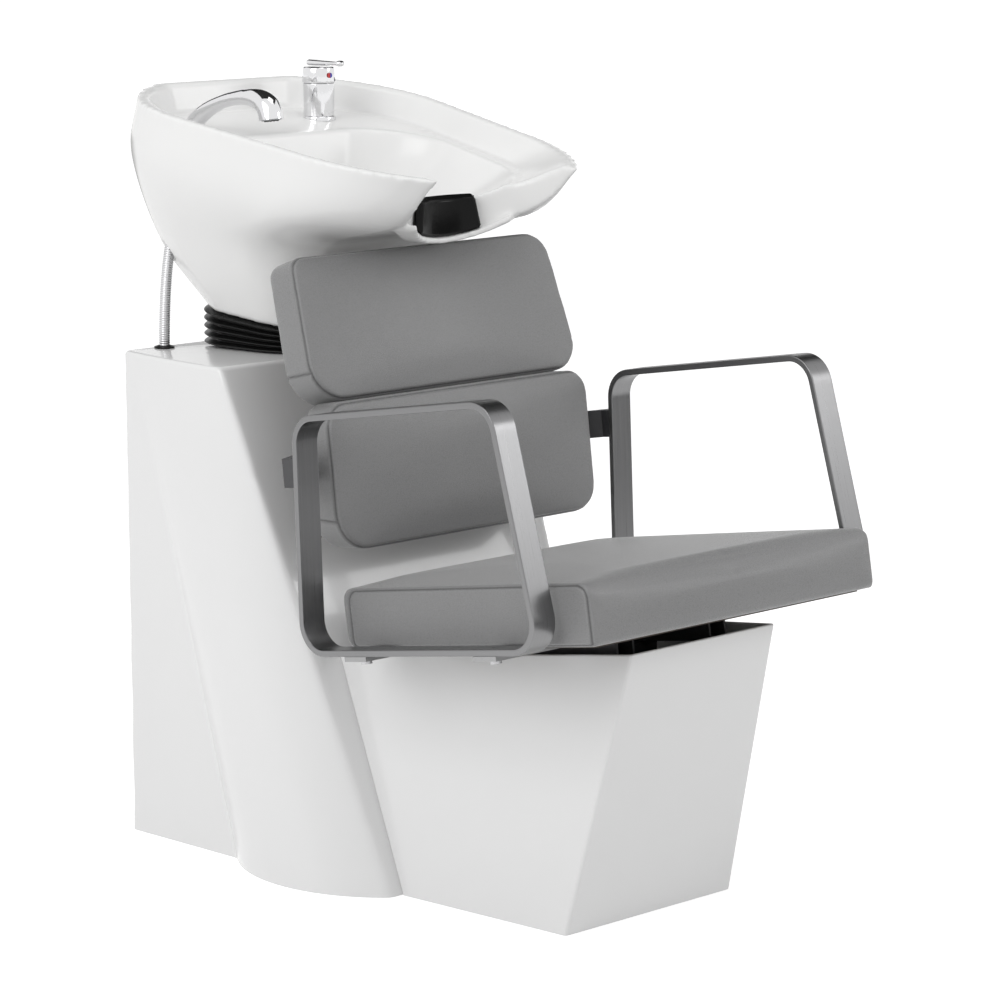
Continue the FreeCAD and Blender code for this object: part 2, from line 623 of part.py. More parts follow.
yoke_plate = box("yoke_plate", ("yoke_width", "yoke_depth", "hinge_plate"),
                 ("-yoke_width / 2", "tilt_back - yoke_depth / 2", "column_height - hinge_plate"))
yoke_parts = [yoke_plate]
for side in ("-1", "1"):
    name = "left" if side == "1" else "right"
    yoke_parts.append(box("cheek_" + name, ("cheek_thick", "cheek_width",
                                            "tilt_height + cheek_top - column_height"),
                          (side + " * (cheek_distance + cheek_thick) / 2 - cheek_thick / 2",
                           "tilt_back - cheek_width / 2", "column_height")))
yoke_bore = rod("yoke_bore", "axle_radius + axle_fit", "yoke_width",
                ("-yoke_width / 2", "tilt_back", "tilt_height"), ALONG_X)
yoke_ways = [yoke_bore]
yoke_ways.append(rod("yoke_waste_way", "drain_hose_radius + lug_gap", "hinge_plate + 2 * overrun",
                     ("0", "drain_back", "column_height - hinge_plate - overrun")))
for side in ("-1", "1"):
    name = "yoke_supply_way_" + ("left" if side == "1" else "right")
    yoke_ways.append(rod(name, "supply_radius + supply_play", "hinge_plate + 2 * overrun",
                         ("supply_across + %s * supply_spread" % side, "supply_back",
                          "column_height - hinge_plate - overrun")))
part(cut("yoke_drilled", fuse("yoke_blank", *yoke_parts), *yoke_ways), "tilt_yoke")
part(rod("axle_rod", "axle_radius", "cheek_distance + 4 * cheek_thick",
         ("-cheek_distance / 2 - 2 * cheek_thick", "tilt_back", "tilt_height"), ALONG_X), "tilt_axle")

cradle_parts = [box("cradle_plate", ("cradle_width", "cradle_depth", "cradle_thick"),
                    ("-cradle_width / 2", "tilt_back - cradle_depth / 2", "foot_height - cradle_thick"))]
for side in ("-1", "1"):
    name = "left" if side == "1" else "right"
    inner = side + " * (cheek_distance / 2 - lug_gap - lug_thick / 2) - lug_thick / 2"
    cradle_parts.append(box("lug_" + name, ("lug_thick", "2 * lug_radius", "foot_height - tilt_height"),
                            (inner, "tilt_back - lug_radius", "tilt_height")))
    cradle_parts.append(rod("lug_eye_" + name, "lug_radius", "lug_thick",
                            (inner, "tilt_back", "tilt_height"), ALONG_X))
cradle_ways = [rod("cradle_bore", "axle_radius + axle_fit", "yoke_width",
                   ("-yoke_width / 2", "tilt_back", "tilt_height"), ALONG_X)]
cradle_ways.append(rod("cradle_waste_way", "drain_hose_radius + lug_gap", "cradle_thick + 2 * overrun",
                       ("0", "drain_back", "foot_height - cradle_thick - overrun")))
for side in ("-1", "1"):
    cradle_ways.append(rod("cradle_supply_way_" + ("left" if side == "1" else "right"),
                           "supply_radius + swing_play", "cradle_thick + 2 * overrun",
                           ("supply_across + %s * supply_spread" % side, "supply_back",
                            "foot_height - cradle_thick - overrun")))
part(cut("cradle_drilled", fuse("cradle_blank", *cradle_parts), *cradle_ways), "basin_cradle")

# Hoses: straight runs joined by arcs as large as their runs allow
ARC_SHARE = 0.45


def route(points):
    """Runs through hand-chosen points, the corners rounded; prints the arcs' radii and the length."""
    spots = [Vector(*p) for p in points]
    runs = []
    at = spots[0]
    radii = []
    for before, corner, after in zip(spots, spots[1:], spots[2:]):
        come = (corner - before).normalize()
        go = (after - corner).normalize()
        half_turn = come.getAngle(go) / 2
        reach = ARC_SHARE * min((corner - before).Length, (after - corner).Length)
        radii.append(round(reach / math.tan(half_turn), 1))
        begin, end = corner - come * reach, corner + go * reach
        centre_way = (go - come).normalize()
        depth = radii[-1] * (1 / math.cos(half_turn) - 1)
        middle = corner + centre_way * depth
        runs += [Part.LineSegment(at, begin).toShape(), Part.Arc(begin, middle, end).toShape()]
        at = end
    runs.append(Part.LineSegment(at, spots[-1]).toShape())
    print("hose arc radii", radii, "length", round(sum(run.Length for run in runs), 1))
    return runs


# Basin: an egg-shaped bowl, its outline the same at every level apart from its sizes
REAR_FLAT_SHARES = (0.487, 1.0)
REAR_BEND_SHARES = (0.84, 0.873)
WIDE_SHARES = (1.0, 0.66)
SHOULDER_SHARES = (0.9, 0.315)
SHOULDER_BEND_SHARES = (0.79, 0.14)
TIP_SHARES = (0.53, 0.0)


def egg(half, front, rear, front_height, rise):
    """A closed outline of lines and arcs, rising evenly from its front to its rear."""

    def at(side, shares):
        across, along = shares
        return Vector(side * half * across, front + (rear - front) * along, front_height + rise * along)

    runs = [Part.LineSegment(at(-1, REAR_FLAT_SHARES), at(1, REAR_FLAT_SHARES)),
            Part.Arc(at(1, REAR_FLAT_SHARES), at(1, REAR_BEND_SHARES), at(1, WIDE_SHARES)),
            Part.LineSegment(at(1, WIDE_SHARES), at(1, SHOULDER_SHARES)),
            Part.Arc(at(1, SHOULDER_SHARES), at(1, SHOULDER_BEND_SHARES), at(1, TIP_SHARES)),
            Part.LineSegment(at(1, TIP_SHARES), at(-1, TIP_SHARES)),
            Part.Arc(at(-1, TIP_SHARES), at(-1, SHOULDER_BEND_SHARES), at(-1, SHOULDER_SHARES)),
            Part.LineSegment(at(-1, SHOULDER_SHARES), at(-1, WIDE_SHARES)),
            Part.Arc(at(-1, WIDE_SHARES), at(-1, REAR_BEND_SHARES), at(-1, REAR_FLAT_SHARES))]
    return Part.Wire([run.toShape() for run in runs])


def rim_height(back):
    share = (back - size("rim_front")) / (size("rim_rear") - size("rim_front"))
    return size("rim_front_height") + size("rim_rise") * share


def under_rim(half, front, rear, depth):
    """An outline parallel to the rim, a depth below it."""
    return egg(half, front, rear, rim_height(front) - depth, rim_height(rear) - rim_height(front))


def level(name, inset, lift=0):
    """One of the basin's outer levels, drawn in by an inset."""
    return egg(size(name + "_half") - inset, size(name + "_front") + inset, size(name + "_rear") - inset,
               size(name + "_front_height") + lift, size(name + "_rise"))


def foot_level(inset, lift):
    return egg(size("foot_half") - inset, size("foot_front") + inset, size("foot_rear") - inset,
               size("foot_height") + lift, 0)


def bowl_levels(grow):
    """The bowl's outlines from its floor up to the deck, grown for the outside of its wall."""
    return [egg(size("bowl_floor_half") + grow, size("bowl_floor_front") - grow,
                size("bowl_floor_rear") + grow, size("bowl_floor_height") - grow, 0),
            under_rim(size("bowl_mid_half") + grow, size("bowl_mid_front") - grow,
                      size("bowl_mid_rear") + grow, size("bowl_mid_depth") + grow),
            under_rim(size("bowl_half") + grow, size("bowl_front") - grow,
                      size("bowl_rear") + grow, size("deck_depth") - size("overrun") / 10)]


thick = size("basin_wall")
deep = size("deck_depth")
outer = Part.makeLoft([foot_level(0, 0), level("belly", 0), level("flare", 0),
                       under_rim(size("rim_half"), size("rim_front"), size("rim_rear"), 0)], True, True)
recess = Part.makeLoft(
    [under_rim(size("recess_half"), size("bowl_front"), size("recess_rear"), deep),
     under_rim(size("rim_half") - thick, size("rim_front") + thick, size("rim_rear") - thick, 0),
     under_rim(size("rim_half") - thick, size("rim_front") + thick, size("rim_rear") - thick,
               -size("overrun"))], True, True)
bowl = Part.makeLoft(bowl_levels(0), True, True)
void = Part.makeLoft([foot_level(thick, thick), level("belly", thick), level("flare", thick),
                      under_rim(size("recess_half") - thick, size("bowl_front") + thick,
                                size("recess_rear") - thick, deep + thick)], True, True)
void = void.cut(Part.makeLoft(bowl_levels(thick), True, True))
tall = size("rim_rear") + size("rim_front_height")
notch = Part.makeCylinder(size("notch_radius"), tall, Vector(0, size("notch_back"), 0))
shell = outer.cut(recess).cut(bowl).cut(void).cut(notch)
deck = rim_height(size("tap_back")) - deep
tap_hole = Part.makeCylinder(size("tail_radius") + size("tap_play"), tall,
                             Vector(size("tap_across"), size("tap_back"), deck - 2 * thick))
waste_way = Part.makeCylinder(size("waste_radius") + size("basket_play"), tall,
                              Vector(0, size("drain_back"), 0))
supply_ways = [Part.makeCylinder(size("supply_radius") + size("supply_play"), 2 * thick,
                                 Vector(size("supply_across") + side * size("supply_spread"),
                                        size("supply_back"), size("foot_height") - thick / 2))
               for side in (-1, 1)]
for way in [tap_hole, waste_way] + supply_ways:
    shell = shell.cut(way)


def deck_seat(across, back, radius):
    """A flat round seat let into the sloping deck, under a fitting."""
    low = rim_height(back - radius) - deep
    return Part.makeCylinder(radius, size("rim_rise"), Vector(across, back, low)), low


tap_seat, tap_level = deck_seat(size("tap_across"), size("tap_back"),
                                size("tap_ring_radius") + size("tap_play"))
holder_seat, holder_level = deck_seat(size("shower_across"), size("shower_back"),
                                      size("holder_radius") + size("tap_play"))
hose_points = [
    (size("shower_across"), size("shower_back"), holder_level + size("holder_height") - size("stem_depth")),
    (size("shower_across"), size("shower_back"), size("hose_bend_height")),
    (size("hose_foot_across"), size("hose_foot_back"), size("hose_turn_height")),
    (size("hose_foot_across"), size("hose_foot_back"), size("column_height") - size("hose_tail_length")),
]
hose_runs = route(hose_points)
way_radius = size("nipple_radius") + size("tap_play")
hose_way = Part.Wire(hose_runs).makePipeShell(
    [Part.Wire(Part.makeCircle(way_radius, Vector(*hose_points[0]), hose_runs[0].tangentAt(0)))], True, False)
stem_way = Part.makeCylinder(way_radius, size("rim_rise"), Vector(*hose_points[0]))
shell = shell.cut(tap_seat).cut(holder_seat).cut(hose_way).cut(stem_way)
part(made("basin_shell", shell), "basin")

# Neck rest: a rubber pad round the front of the notch
neck = turned("neck_pad", [("notch_radius - neck_thick", "0"), ("notch_radius - neck_gap", "0"),
                           ("notch_radius - neck_gap", "neck_height"),
                           ("notch_radius - neck_thick", "neck_height - neck_thick / 2")])
neck_turn = doc.getObject("neck_pad_turn")
bind(neck_turn, "Angle", "2 * neck_half_angle")
neck_turn.Midplane = True
neck.Placement = Placement(Vector(), Rotation(Vector(0, 0, 1), 90))
bind_place(neck, "0", "notch_back", "neck_foot_height")
part(neck, "neck_rest")

# Strainer and waste fitting
part(turned("waste_tail", [("waste_bore", "0"), ("waste_radius", "0"), ("waste_radius", "waste_length"),
                           ("waste_bore", "waste_length")]), "waste_fitting")
bind_place(PARTS[-1], "0", "drain_back", "bowl_floor_height - waste_length")
part(turned("strainer_plug", [("0", "0"), ("waste_bore - basket_play", "0"),
                              ("waste_bore - basket_play", "strainer_stem"),
                              ("strainer_radius", "strainer_stem"),
                              ("strainer_radius", "strainer_stem + strainer_edge"),
                              ("0", "strainer_stem + strainer_thick")]), "drain_strainer")
bind_place(PARTS[-1], "0", "drain_back", "bowl_floor_height - strainer_stem")

# Bellows: folds between the column's top and the basin's foot
def bellows_wires(inset):
    """Outlines from the foot of the bellows up, each fold a valley, a crest and a valley again."""
    folds = int(size("bellows_folds"))
    low = size("column_height")
    step = (size("foot_height") - low) / (2 * folds)
    wires = []
    for turn in range(2 * folds + 1):
        draw = inset + (size("bellows_fold_depth") if turn % 2 == 0 else 0)
        wires.append(foot_level(draw - size("bellows_swell"), low - size("foot_height") + step * turn))
    return wires


bellows = Part.makeLoft(bellows_wires(0), True, True).cut(
    Part.makeLoft(bellows_wires(size("bellows_wall")), True, True))
part(made("bellows_skin", bellows), "bellows")


# Mixer tap on the deck
def on_tap(thing, up):
    thing.Placement = Placement(Vector(size("tap_across"), size("tap_back"), tap_level + up), Rotation())
    return thing


part(on_tap(turned("tap_foot", [("tail_radius + tap_play", "0"), ("tap_ring_radius", "0"),
                                ("tap_ring_radius", "tap_ring_height / 2"),
                                ("tap_radius + tap_play", "tap_ring_height"),
                                ("tail_radius + tap_play", "tap_ring_height")]), 0), "mixer_base_ring")
ring = size("tap_ring_height")
part(on_tap(turned("tap_trunk", [("0", "0"), ("tap_radius", "0"),
                                 ("tap_radius - tap_taper", "tap_body_height"),
                                 ("tap_stem_radius", "tap_body_height"),
                                 ("tap_stem_radius", "tap_body_height + tap_stem_height"),
                                 ("0", "tap_body_height + tap_stem_height")]), ring), "mixer_body")
cap_level = ring + size("tap_body_height") + size("tap_play")
part(on_tap(turned("tap_cap", [("tap_stem_radius + axle_fit", "0"), ("tap_cap_radius", "0"),
                               ("tap_cap_radius", "tap_cap_height"), ("0", "tap_cap_height"),
                               ("0", "tap_stem_height"), ("tap_stem_radius + axle_fit", "tap_stem_height")]),
            cap_level), "mixer_cap")
lever_level = cap_level + size("tap_cap_height") + size("lever_gap")
lever_points = [("lever_heel", "0"), ("lever_heel", "lever_thick"),
                ("-lever_length", "lever_thick + lever_rise"), ("-lever_length", "lever_rise")]
lever = padded("lever_blade", "YZ_Plane", lever_points, "lever_width")
on_tap(lever, lever_level)
part(lever, "mixer_lever")
TAIL_TOP = "tail_length + tap_ring_height"
spigot = turned("tap_spigot", [("0", "0"), ("tail_radius", "0"), ("tail_radius", TAIL_TOP), ("0", TAIL_TOP)])
part(on_tap(spigot, -size("tail_length")), "mixer_tail")
on_cap = Vector(size("tap_across"), size("tap_back") - size("tap_cap_radius"),
                tap_level + cap_level + size("tap_cap_height") / 2)
part(made("tap_dot", Part.makeCylinder(size("dot_radius"), size("dot_thick"), on_cap, Vector(0, -1, 0))),
     "mixer_index_dot")

# Hand shower in its holder
holder = turned("shower_socket", [("stem_radius + stem_fit", "0"), ("holder_radius", "0"),
                                  ("holder_radius - stem_fit", "holder_height"),
                                  ("stem_radius + stem_fit", "holder_height")])
holder.Placement = Placement(Vector(size("shower_across"), size("shower_back"), holder_level), Rotation())
part(holder, "shower_holder")
root = Vector(size("shower_across"), size("shower_back"),
              holder_level + size("holder_height") + size("handle_lift"))
bend = root + Vector(0, -size("handle_reach") / 2, size("handle_arch"))
tip = root + Vector(0, -size("handle_reach"), size("handle_arch") - size("handle_drop"))
arch = Part.Arc(root, bend, tip)
start_way = arch.tangent(arch.FirstParameter)[0]
handle = Part.Wire(arch.toShape()).makePipeShell(
    [Part.Wire(Part.makeCircle(size("handle_radius"), root, start_way))], True, False)
head_way = Vector(0, -size("head_lean"), -size("head_length"))
head_way.normalize()
head_foot = tip - head_way * size("handle_radius")
stem_length = size("stem_depth") + size("handle_lift")
shower = Part.makeCylinder(size("stem_radius"), stem_length, root - Vector(0, 0, stem_length))
head = Part.makeCone(size("handle_radius"), size("head_radius"), size("head_length"), head_foot, head_way)
for piece in (Part.makeSphere(size("handle_radius"), root), handle, head):
    shower = shower.fuse(piece)
part(made("shower_handle", shower.removeSplitter()), "hand_shower")


def hose(points, radius, bore, label):
    path = Part.Wire(route(points))
    at = Vector(*points[0])
    way = Vector(*points[1]) - at
    skin, hollow = [path.makePipeShell([Part.Wire(Part.makeCircle(r, at, way))], True, False)
                    for r in (radius, bore)]
    expected = math.pi * radius ** 2 * path.Length
    print(label, "volume share", round(skin.Volume / expected, 4))
    return skin.cut(hollow)


def along(runs, distance):
    """The place and way of a route at a distance from its start."""
    for run in runs:
        if distance <= run.Length or run is runs[-1]:
            spot = run.getParameterByLength(min(distance, run.Length))
            return run.valueAt(spot), run.tangentAt(spot)
        distance -= run.Length


def ring(runs, distance, radius):
    """A circle square to the route, its start turned the same way all along."""
    spot, way = along(runs, distance)
    circle = Part.Circle(spot, way, radius)
    circle.XAxis = way.cross(Vector(0, 1, 0)).normalize()
    return Part.Wire(circle.toShape())


RIB_SHARES = (0.1, 0.35, 0.65, 0.9)


def ribbed_hose(runs, label):
    """A hose with a plain bore whose outside rises and falls in even ribs, plain at both ends."""
    length = sum(run.Length for run in runs)
    plain = 2 * size("hose_radius")
    count = int((length - 2 * plain) / size("hose_rib_pitch"))
    pitch = (length - 2 * plain) / count
    low, high = size("hose_radius"), size("hose_radius") + size("hose_rib")
    rings = [ring(runs, 0, low)]
    for rib in range(count):
        for share, radius in zip(RIB_SHARES, (low, high, high, low)):
            rings.append(ring(runs, plain + (rib + share) * pitch, radius))
    rings.append(ring(runs, length, low))
    print(label, "ribs", count)
    skin = Part.makeLoft(rings, True, True)
    path = Part.Wire(runs)
    bore = path.makePipeShell([ring(runs, 0, size("hose_bore"))], True, False)
    return skin.cut(bore)


part(made("shower_hose_skin", ribbed_hose(hose_runs, "shower_hose")), "shower_hose")
grommet = turned("hose_collar", [("hose_radius + hose_rib + grommet_fit", "-shell_wall"),
                                 ("hose_radius + hose_rib + grommet_thick - grommet_fit", "-shell_wall"),
                                 ("hose_radius + hose_rib + grommet_thick - grommet_fit", "0"),
                                 ("grommet_radius", "0"), ("grommet_radius", "grommet_thick / 2"),
                                 ("hose_radius + hose_rib + grommet_fit", "grommet_thick")])
bind_place(grommet, "hose_foot_across", "hose_foot_back", "column_height")
part(grommet, "hose_grommet")

# Supply hoses and valves, and the drain hose, inside the column
tap_foot = tap_level - size("tail_length")
valves = []
for side, label in ((-1, "hot_supply_hose"), (1, "cold_supply_hose")):
    start = size("tap_across") + side * size("supply_spread")
    foot = size("supply_across") + side * size("supply_spread")
    points = [(start, size("tap_back"), tap_foot),
              (start, size("tap_back"), size("supply_turn_height")),
              (foot, size("supply_back"), size("supply_bend_height")),
              (foot, size("supply_back"), size("supply_foot_height"))]
    part(made(label + "_skin", hose(points, size("supply_radius"), size("supply_bore"), label)), label)
    valves.append(rod(label + "_valve", "valve_radius", "valve_length",
                      ("supply_across + %d * supply_spread" % side, "supply_back",
                       "supply_foot_height - valve_length")))
part(group("valve_pair", *valves), "stop_valves")

drain_top = "bowl_floor_height - waste_length"
drain_tube = rod("drain_tube", "drain_hose_radius", drain_top + " - plate_thick",
                 ("0", "drain_back", "plate_thick"))
drain_bore = rod("drain_bore", "drain_hose_bore", drain_top + " + 2 * overrun",
                 ("0", "drain_back", "-overrun"))
part(cut("drain_tube_hollow", drain_tube, drain_bore), "drain_hose")

# Service door, hinged at its +X side on outside knuckles
DOOR_AXIS = ("door_width / 2 + knuckle_radius + knuckle_gap", "column_rear + knuckle_radius")
panel = box("door_panel", ("door_width - 2 * door_play", "door_thick", "door_height - 2 * door_play"),
            ("-door_width / 2 + door_play", "column_rear - door_thick", "door_foot_height + door_play"))
door_parts = [panel]
leaves = []
pins = []
door_bores = []
for row, foot in (("low", "door_foot_height + knuckle_inset"),
                  ("high", "door_foot_height + door_height - knuckle_inset - knuckle_gap"
                           " - 2 * knuckle_length")):
    raised = foot + " + knuckle_length + knuckle_gap"
    eye = rod("door_knuckle_" + row, "knuckle_radius", "knuckle_length", DOOR_AXIS + (raised,))
    tab = box("door_tab_" + row,
              ("leaf_width + knuckle_radius + knuckle_gap", "leaf_thick", "knuckle_length"),
              (DOOR_AXIS[0] + " - leaf_width - knuckle_radius - knuckle_gap", "column_rear", raised))
    door_parts += [eye, tab]
    door_bores.append(rod("door_bore_" + row, "hinge_pin_radius + pin_fit",
                          "knuckle_length + 2 * knuckle_gap", DOOR_AXIS + (raised + " - knuckle_gap",)))
    base_eye = rod("leaf_eye_" + row, "knuckle_radius", "knuckle_length", DOOR_AXIS + (foot,))
    base_tab = box("leaf_tab_" + row, ("leaf_width", "leaf_thick", "knuckle_length"),
                   (DOOR_AXIS[0], "column_rear", foot))
    base_bore = rod("leaf_bore_" + row, "hinge_pin_radius", "knuckle_length + 2 * knuckle_gap",
                    DOOR_AXIS + (foot + " - knuckle_gap",))
    leaves.append(cut("leaf_" + row, fuse("leaf_blank_" + row, base_eye, base_tab), base_bore))
    pins.append(rod("pin_" + row, "hinge_pin_radius", "2 * knuckle_length + knuckle_gap",
                    DOOR_AXIS + (foot,)))
part(cut("door_drilled", fuse("door_blank", *door_parts), *door_bores), "service_door")
part(group("leaf_pair", *leaves), "door_hinge_leaves")
part(group("pin_pair", *pins), "door_hinge_pins")
part(rod("door_pull", "knob_radius", "knob_depth",
         ("-door_width / 2 + knob_inset", "column_rear", "door_foot_height + door_height / 2"),
         ALONG_BACK), "door_knob")

doc.recompute()
for item in doc.Objects:
    if "Invalid" in item.State or "Error" in item.State:
        raise RuntimeError("%s failed: %s" % (item.Label, item.State))
for item in PARTS:
    if item.Shape.isNull() or not item.Shape.isValid():
        raise RuntimeError("%s has no sound shape" % item.Label)
os.makedirs("parts", exist_ok=True)
for item in PARTS:
    item.Shape.exportStep("parts/%s.step" % item.Label)
    box_of = item.Shape.BoundBox
    print("%-22s %2d solids %12.0f mm3  x %.0f..%.0f y %.0f..%.0f z %.0f..%.0f" % (
        item.Label, len(item.Shape.Solids), item.Shape.Volume, box_of.XMin, box_of.XMax, box_of.YMin,
        box_of.YMax, box_of.ZMin, box_of.ZMax))
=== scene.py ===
import json
import math

import bmesh
import bpy
import numpy as np
from mathutils import Matrix, Vector
from mathutils.bvhtree import BVHTree
from mathutils.kdtree import KDTree


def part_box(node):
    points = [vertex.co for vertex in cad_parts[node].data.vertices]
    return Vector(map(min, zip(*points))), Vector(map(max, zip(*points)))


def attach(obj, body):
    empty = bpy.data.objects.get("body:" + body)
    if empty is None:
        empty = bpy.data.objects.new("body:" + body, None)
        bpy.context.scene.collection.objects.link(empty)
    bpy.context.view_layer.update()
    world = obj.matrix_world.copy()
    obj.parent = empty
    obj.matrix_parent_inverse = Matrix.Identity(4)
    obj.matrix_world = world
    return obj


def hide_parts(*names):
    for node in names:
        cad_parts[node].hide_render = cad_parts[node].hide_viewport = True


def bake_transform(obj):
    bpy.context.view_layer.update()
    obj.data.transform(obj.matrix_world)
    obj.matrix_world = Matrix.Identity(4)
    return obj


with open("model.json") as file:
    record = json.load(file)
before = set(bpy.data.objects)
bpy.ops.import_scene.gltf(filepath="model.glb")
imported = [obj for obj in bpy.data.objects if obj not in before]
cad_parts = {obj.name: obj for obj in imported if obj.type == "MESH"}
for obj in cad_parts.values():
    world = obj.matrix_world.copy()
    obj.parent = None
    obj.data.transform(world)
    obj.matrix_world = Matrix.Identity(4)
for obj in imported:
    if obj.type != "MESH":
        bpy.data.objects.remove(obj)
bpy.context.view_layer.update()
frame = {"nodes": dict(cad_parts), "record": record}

# A salon backwash unit: a padded chair on a white shell base with a tilting ceramic basin.
# Metres; the front of the seat is -Y and the client's left is +X.

NODES = frame["nodes"]
WELD = 1e-6
CRISP_BAR, CRISP_MOULD, CRISP_ROUND = 35, 40, 50
scene = bpy.context.scene


def linked(name, data):
    obj = bpy.data.objects.new(name, data)
    scene.collection.objects.link(obj)
    return obj


def skinned(name, verts, faces, sharp=None):
    """A mesh object with its faces outwards; an edge that bends by more degrees than sharp stays crisp."""
    mesh = bpy.data.meshes.new(name)
    mesh.from_pydata([tuple(v) for v in verts], [], faces)
    shape = bmesh.new()
    shape.from_mesh(mesh)
    bmesh.ops.recalc_face_normals(shape, faces=shape.faces)
    shape.to_mesh(mesh)
    shape.free()
    smooth(mesh, sharp)
    return linked(name, mesh)


def smooth(mesh, sharp=None):
    mesh.shade_smooth()
    if sharp is not None:
        mesh.set_sharp_from_angle(angle=math.radians(sharp))


def loft(name, rings, closed_ends=True, sharp=None):
    """A skin over closed rings of equally many points."""
    count = len(rings[0])
    verts = [p for ring in rings for p in ring]
    faces = []
    for row in range(len(rings) - 1):
        for step in range(count):
            follower = (step + 1) % count
            low, high = row * count, (row + 1) * count
            faces.append((low + step, low + follower, high + follower, high + step))
    if closed_ends:
        last = (len(rings) - 1) * count
        faces.append(tuple(range(count - 1, -1, -1)))
        faces.append(tuple(range(last, last + count)))
    return skinned(name, verts, faces, sharp)


def settle(obj, sharp=None):
    """Make an object's modifiers part of its plain mesh."""
    graph = bpy.context.evaluated_depsgraph_get()
    mesh = bpy.data.meshes.new_from_object(obj.evaluated_get(graph))
    obj.modifiers.clear()
    old = obj.data
    obj.data = mesh
    bpy.data.meshes.remove(old)
    smooth(obj.data, sharp)
    return obj


def carve(obj, *tools, operation="DIFFERENCE"):
    """Cut other objects' shapes out of one, or join them to it, and remove them."""
    for tool in tools:
        cutter = obj.modifiers.new("cut", "BOOLEAN")
        cutter.operation = operation
        cutter.solver = "EXACT"
        cutter.object = tool
    settle(obj)
    for tool in tools:
        bpy.data.objects.remove(tool)
    return obj


def welded(obj, sharp):
    """Join the vertices that meet where a skin closes on itself."""
    shape = bmesh.new()
    shape.from_mesh(obj.data)
    bmesh.ops.remove_doubles(shape, verts=shape.verts, dist=WELD)
    bmesh.ops.recalc_face_normals(shape, faces=shape.faces)
    shape.to_mesh(obj.data)
    shape.free()
    smooth(obj.data, sharp)
    return obj


def turned(name, profile, centre, segments, sharp=CRISP_MOULD):
    """A shape turned about an upright axis from (radius, height) pairs."""
    angles = [2 * math.pi * step / segments for step in range(segments)]
    rings = [[Vector(centre) + Vector((radius * math.cos(angle), radius * math.sin(angle), height))
              for angle in angles] for radius, height in profile]
    return loft(name, rings, True, sharp)


def frames_along(points):
    """Unit tangents and two square directions along a line, turning as little as possible."""
    points = [Vector(p) for p in points]
    tangents = []
    for step in range(len(points)):
        ahead = points[min(step + 1, len(points) - 1)]
        behind = points[max(step - 1, 0)]
        tangents.append((ahead - behind).normalized())
    side = tangents[0].orthogonal().normalized()
    if abs(tangents[0].x) < 0.9:
        side = (Vector((1, 0, 0)) - tangents[0] * tangents[0].x).normalized()
    rows = []
    for tangent in tangents:
        side = (side - tangent * side.dot(tangent)).normalized()
        rows.append((tangent, side, tangent.cross(side)))
    return rows


def tube(name, points, radii, segments=24, sharp=None):
    """A round tube along points, with a radius for each."""
    rings = []
    for spot, radius, (_, side, rise) in zip(points, radii, frames_along(points)):
        ring = []
        for step in range(segments):
            angle = 2 * math.pi * step / segments
            ring.append(Vector(spot) + side * (radius * math.cos(angle)) + rise * (radius * math.sin(angle)))
        rings.append(ring)
    return loft(name, rings, True, sharp)


def spaced(points, count, closed=False):
    """The same line with its points evenly spaced."""
    line = np.array([tuple(p) for p in points], float)
    if closed:
        line = np.vstack([line, line[:1]])
    steps = np.linalg.norm(np.diff(line, axis=0), axis=1)
    run = np.concatenate([[0], np.cumsum(steps)])
    at = np.linspace(0, run[-1], count, endpoint=not closed)
    return np.stack([np.interp(at, run, line[:, axis]) for axis in range(line.shape[1])], axis=1)


def rounded(corners, radii, steps=8):
    """A closed 2-D outline with its corners rounded."""
    outline = []
    count = len(corners)
    for step in range(count):
        before, corner, after = (Vector(corners[(step + shift) % count]) for shift in (-1, 0, 1))
        come, go = (before - corner).normalized(), (after - corner).normalized()
        half = come.angle(go) / 2
        reach = radii[step] / math.tan(half)
        centre = corner + (come + go).normalized() * (radii[step] / math.sin(half))
        first, last = corner + come * reach - centre, corner + go * reach - centre
        sweep = first.angle_signed(last)
        for turn in range(steps + 1):
            outline.append(centre + Matrix.Rotation(-sweep * turn / steps, 2) @ first)
    return outline


def drawn_in(outline, inset):
    """A closed 2-D outline moved square to itself towards its inside."""
    line = np.array([tuple(p) for p in outline])
    ahead, behind = np.roll(line, -1, axis=0), np.roll(line, 1, axis=0)
    way = ahead - behind
    way /= np.linalg.norm(way, axis=1)[:, None]
    normal = np.stack([-way[:, 1], way[:, 0]], axis=1)
    area = np.sum(line[:, 0] * ahead[:, 1] - ahead[:, 0] * line[:, 1])
    return line + normal * (inset if area > 0 else -inset)


def dressed(obj, material, body, *nodes, slot=None):
    """Give a piece its finish, the body it moves with and the CAD nodes it stands for. The slot argument is
    not used.
    """
    obj.data.materials.clear()
    obj.data.materials.append(material)
    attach(obj, body)
    if nodes:
        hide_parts(*nodes)
    return obj


# Finishes
def group_of(name, inputs, outputs):
    """An empty shader node group with named sockets."""
    tree = bpy.data.node_groups.new(name, "ShaderNodeTree")
    for kind, label, value in inputs:
        socket = tree.interface.new_socket(label, in_out="INPUT", socket_type="NodeSocket" + kind)
        if value is not None:
            socket.default_value = value
    for kind, label in outputs:
        tree.interface.new_socket(label, in_out="OUTPUT", socket_type="NodeSocket" + kind)
    return tree, tree.nodes.new("NodeGroupInput"), tree.nodes.new("NodeGroupOutput")


def filled(tree, node, inputs):
    """Fill a node's sockets, by name or as i and a number, with values or links."""
    for key, value in inputs.items():
        socket = node.inputs[int(key[1:])] if key[1:].isdigit() else node.inputs[key.replace("_", " ")]
        if isinstance(value, bpy.types.NodeSocket):
            tree.links.new(value, socket)
        else:
            socket.default_value = value
    return node


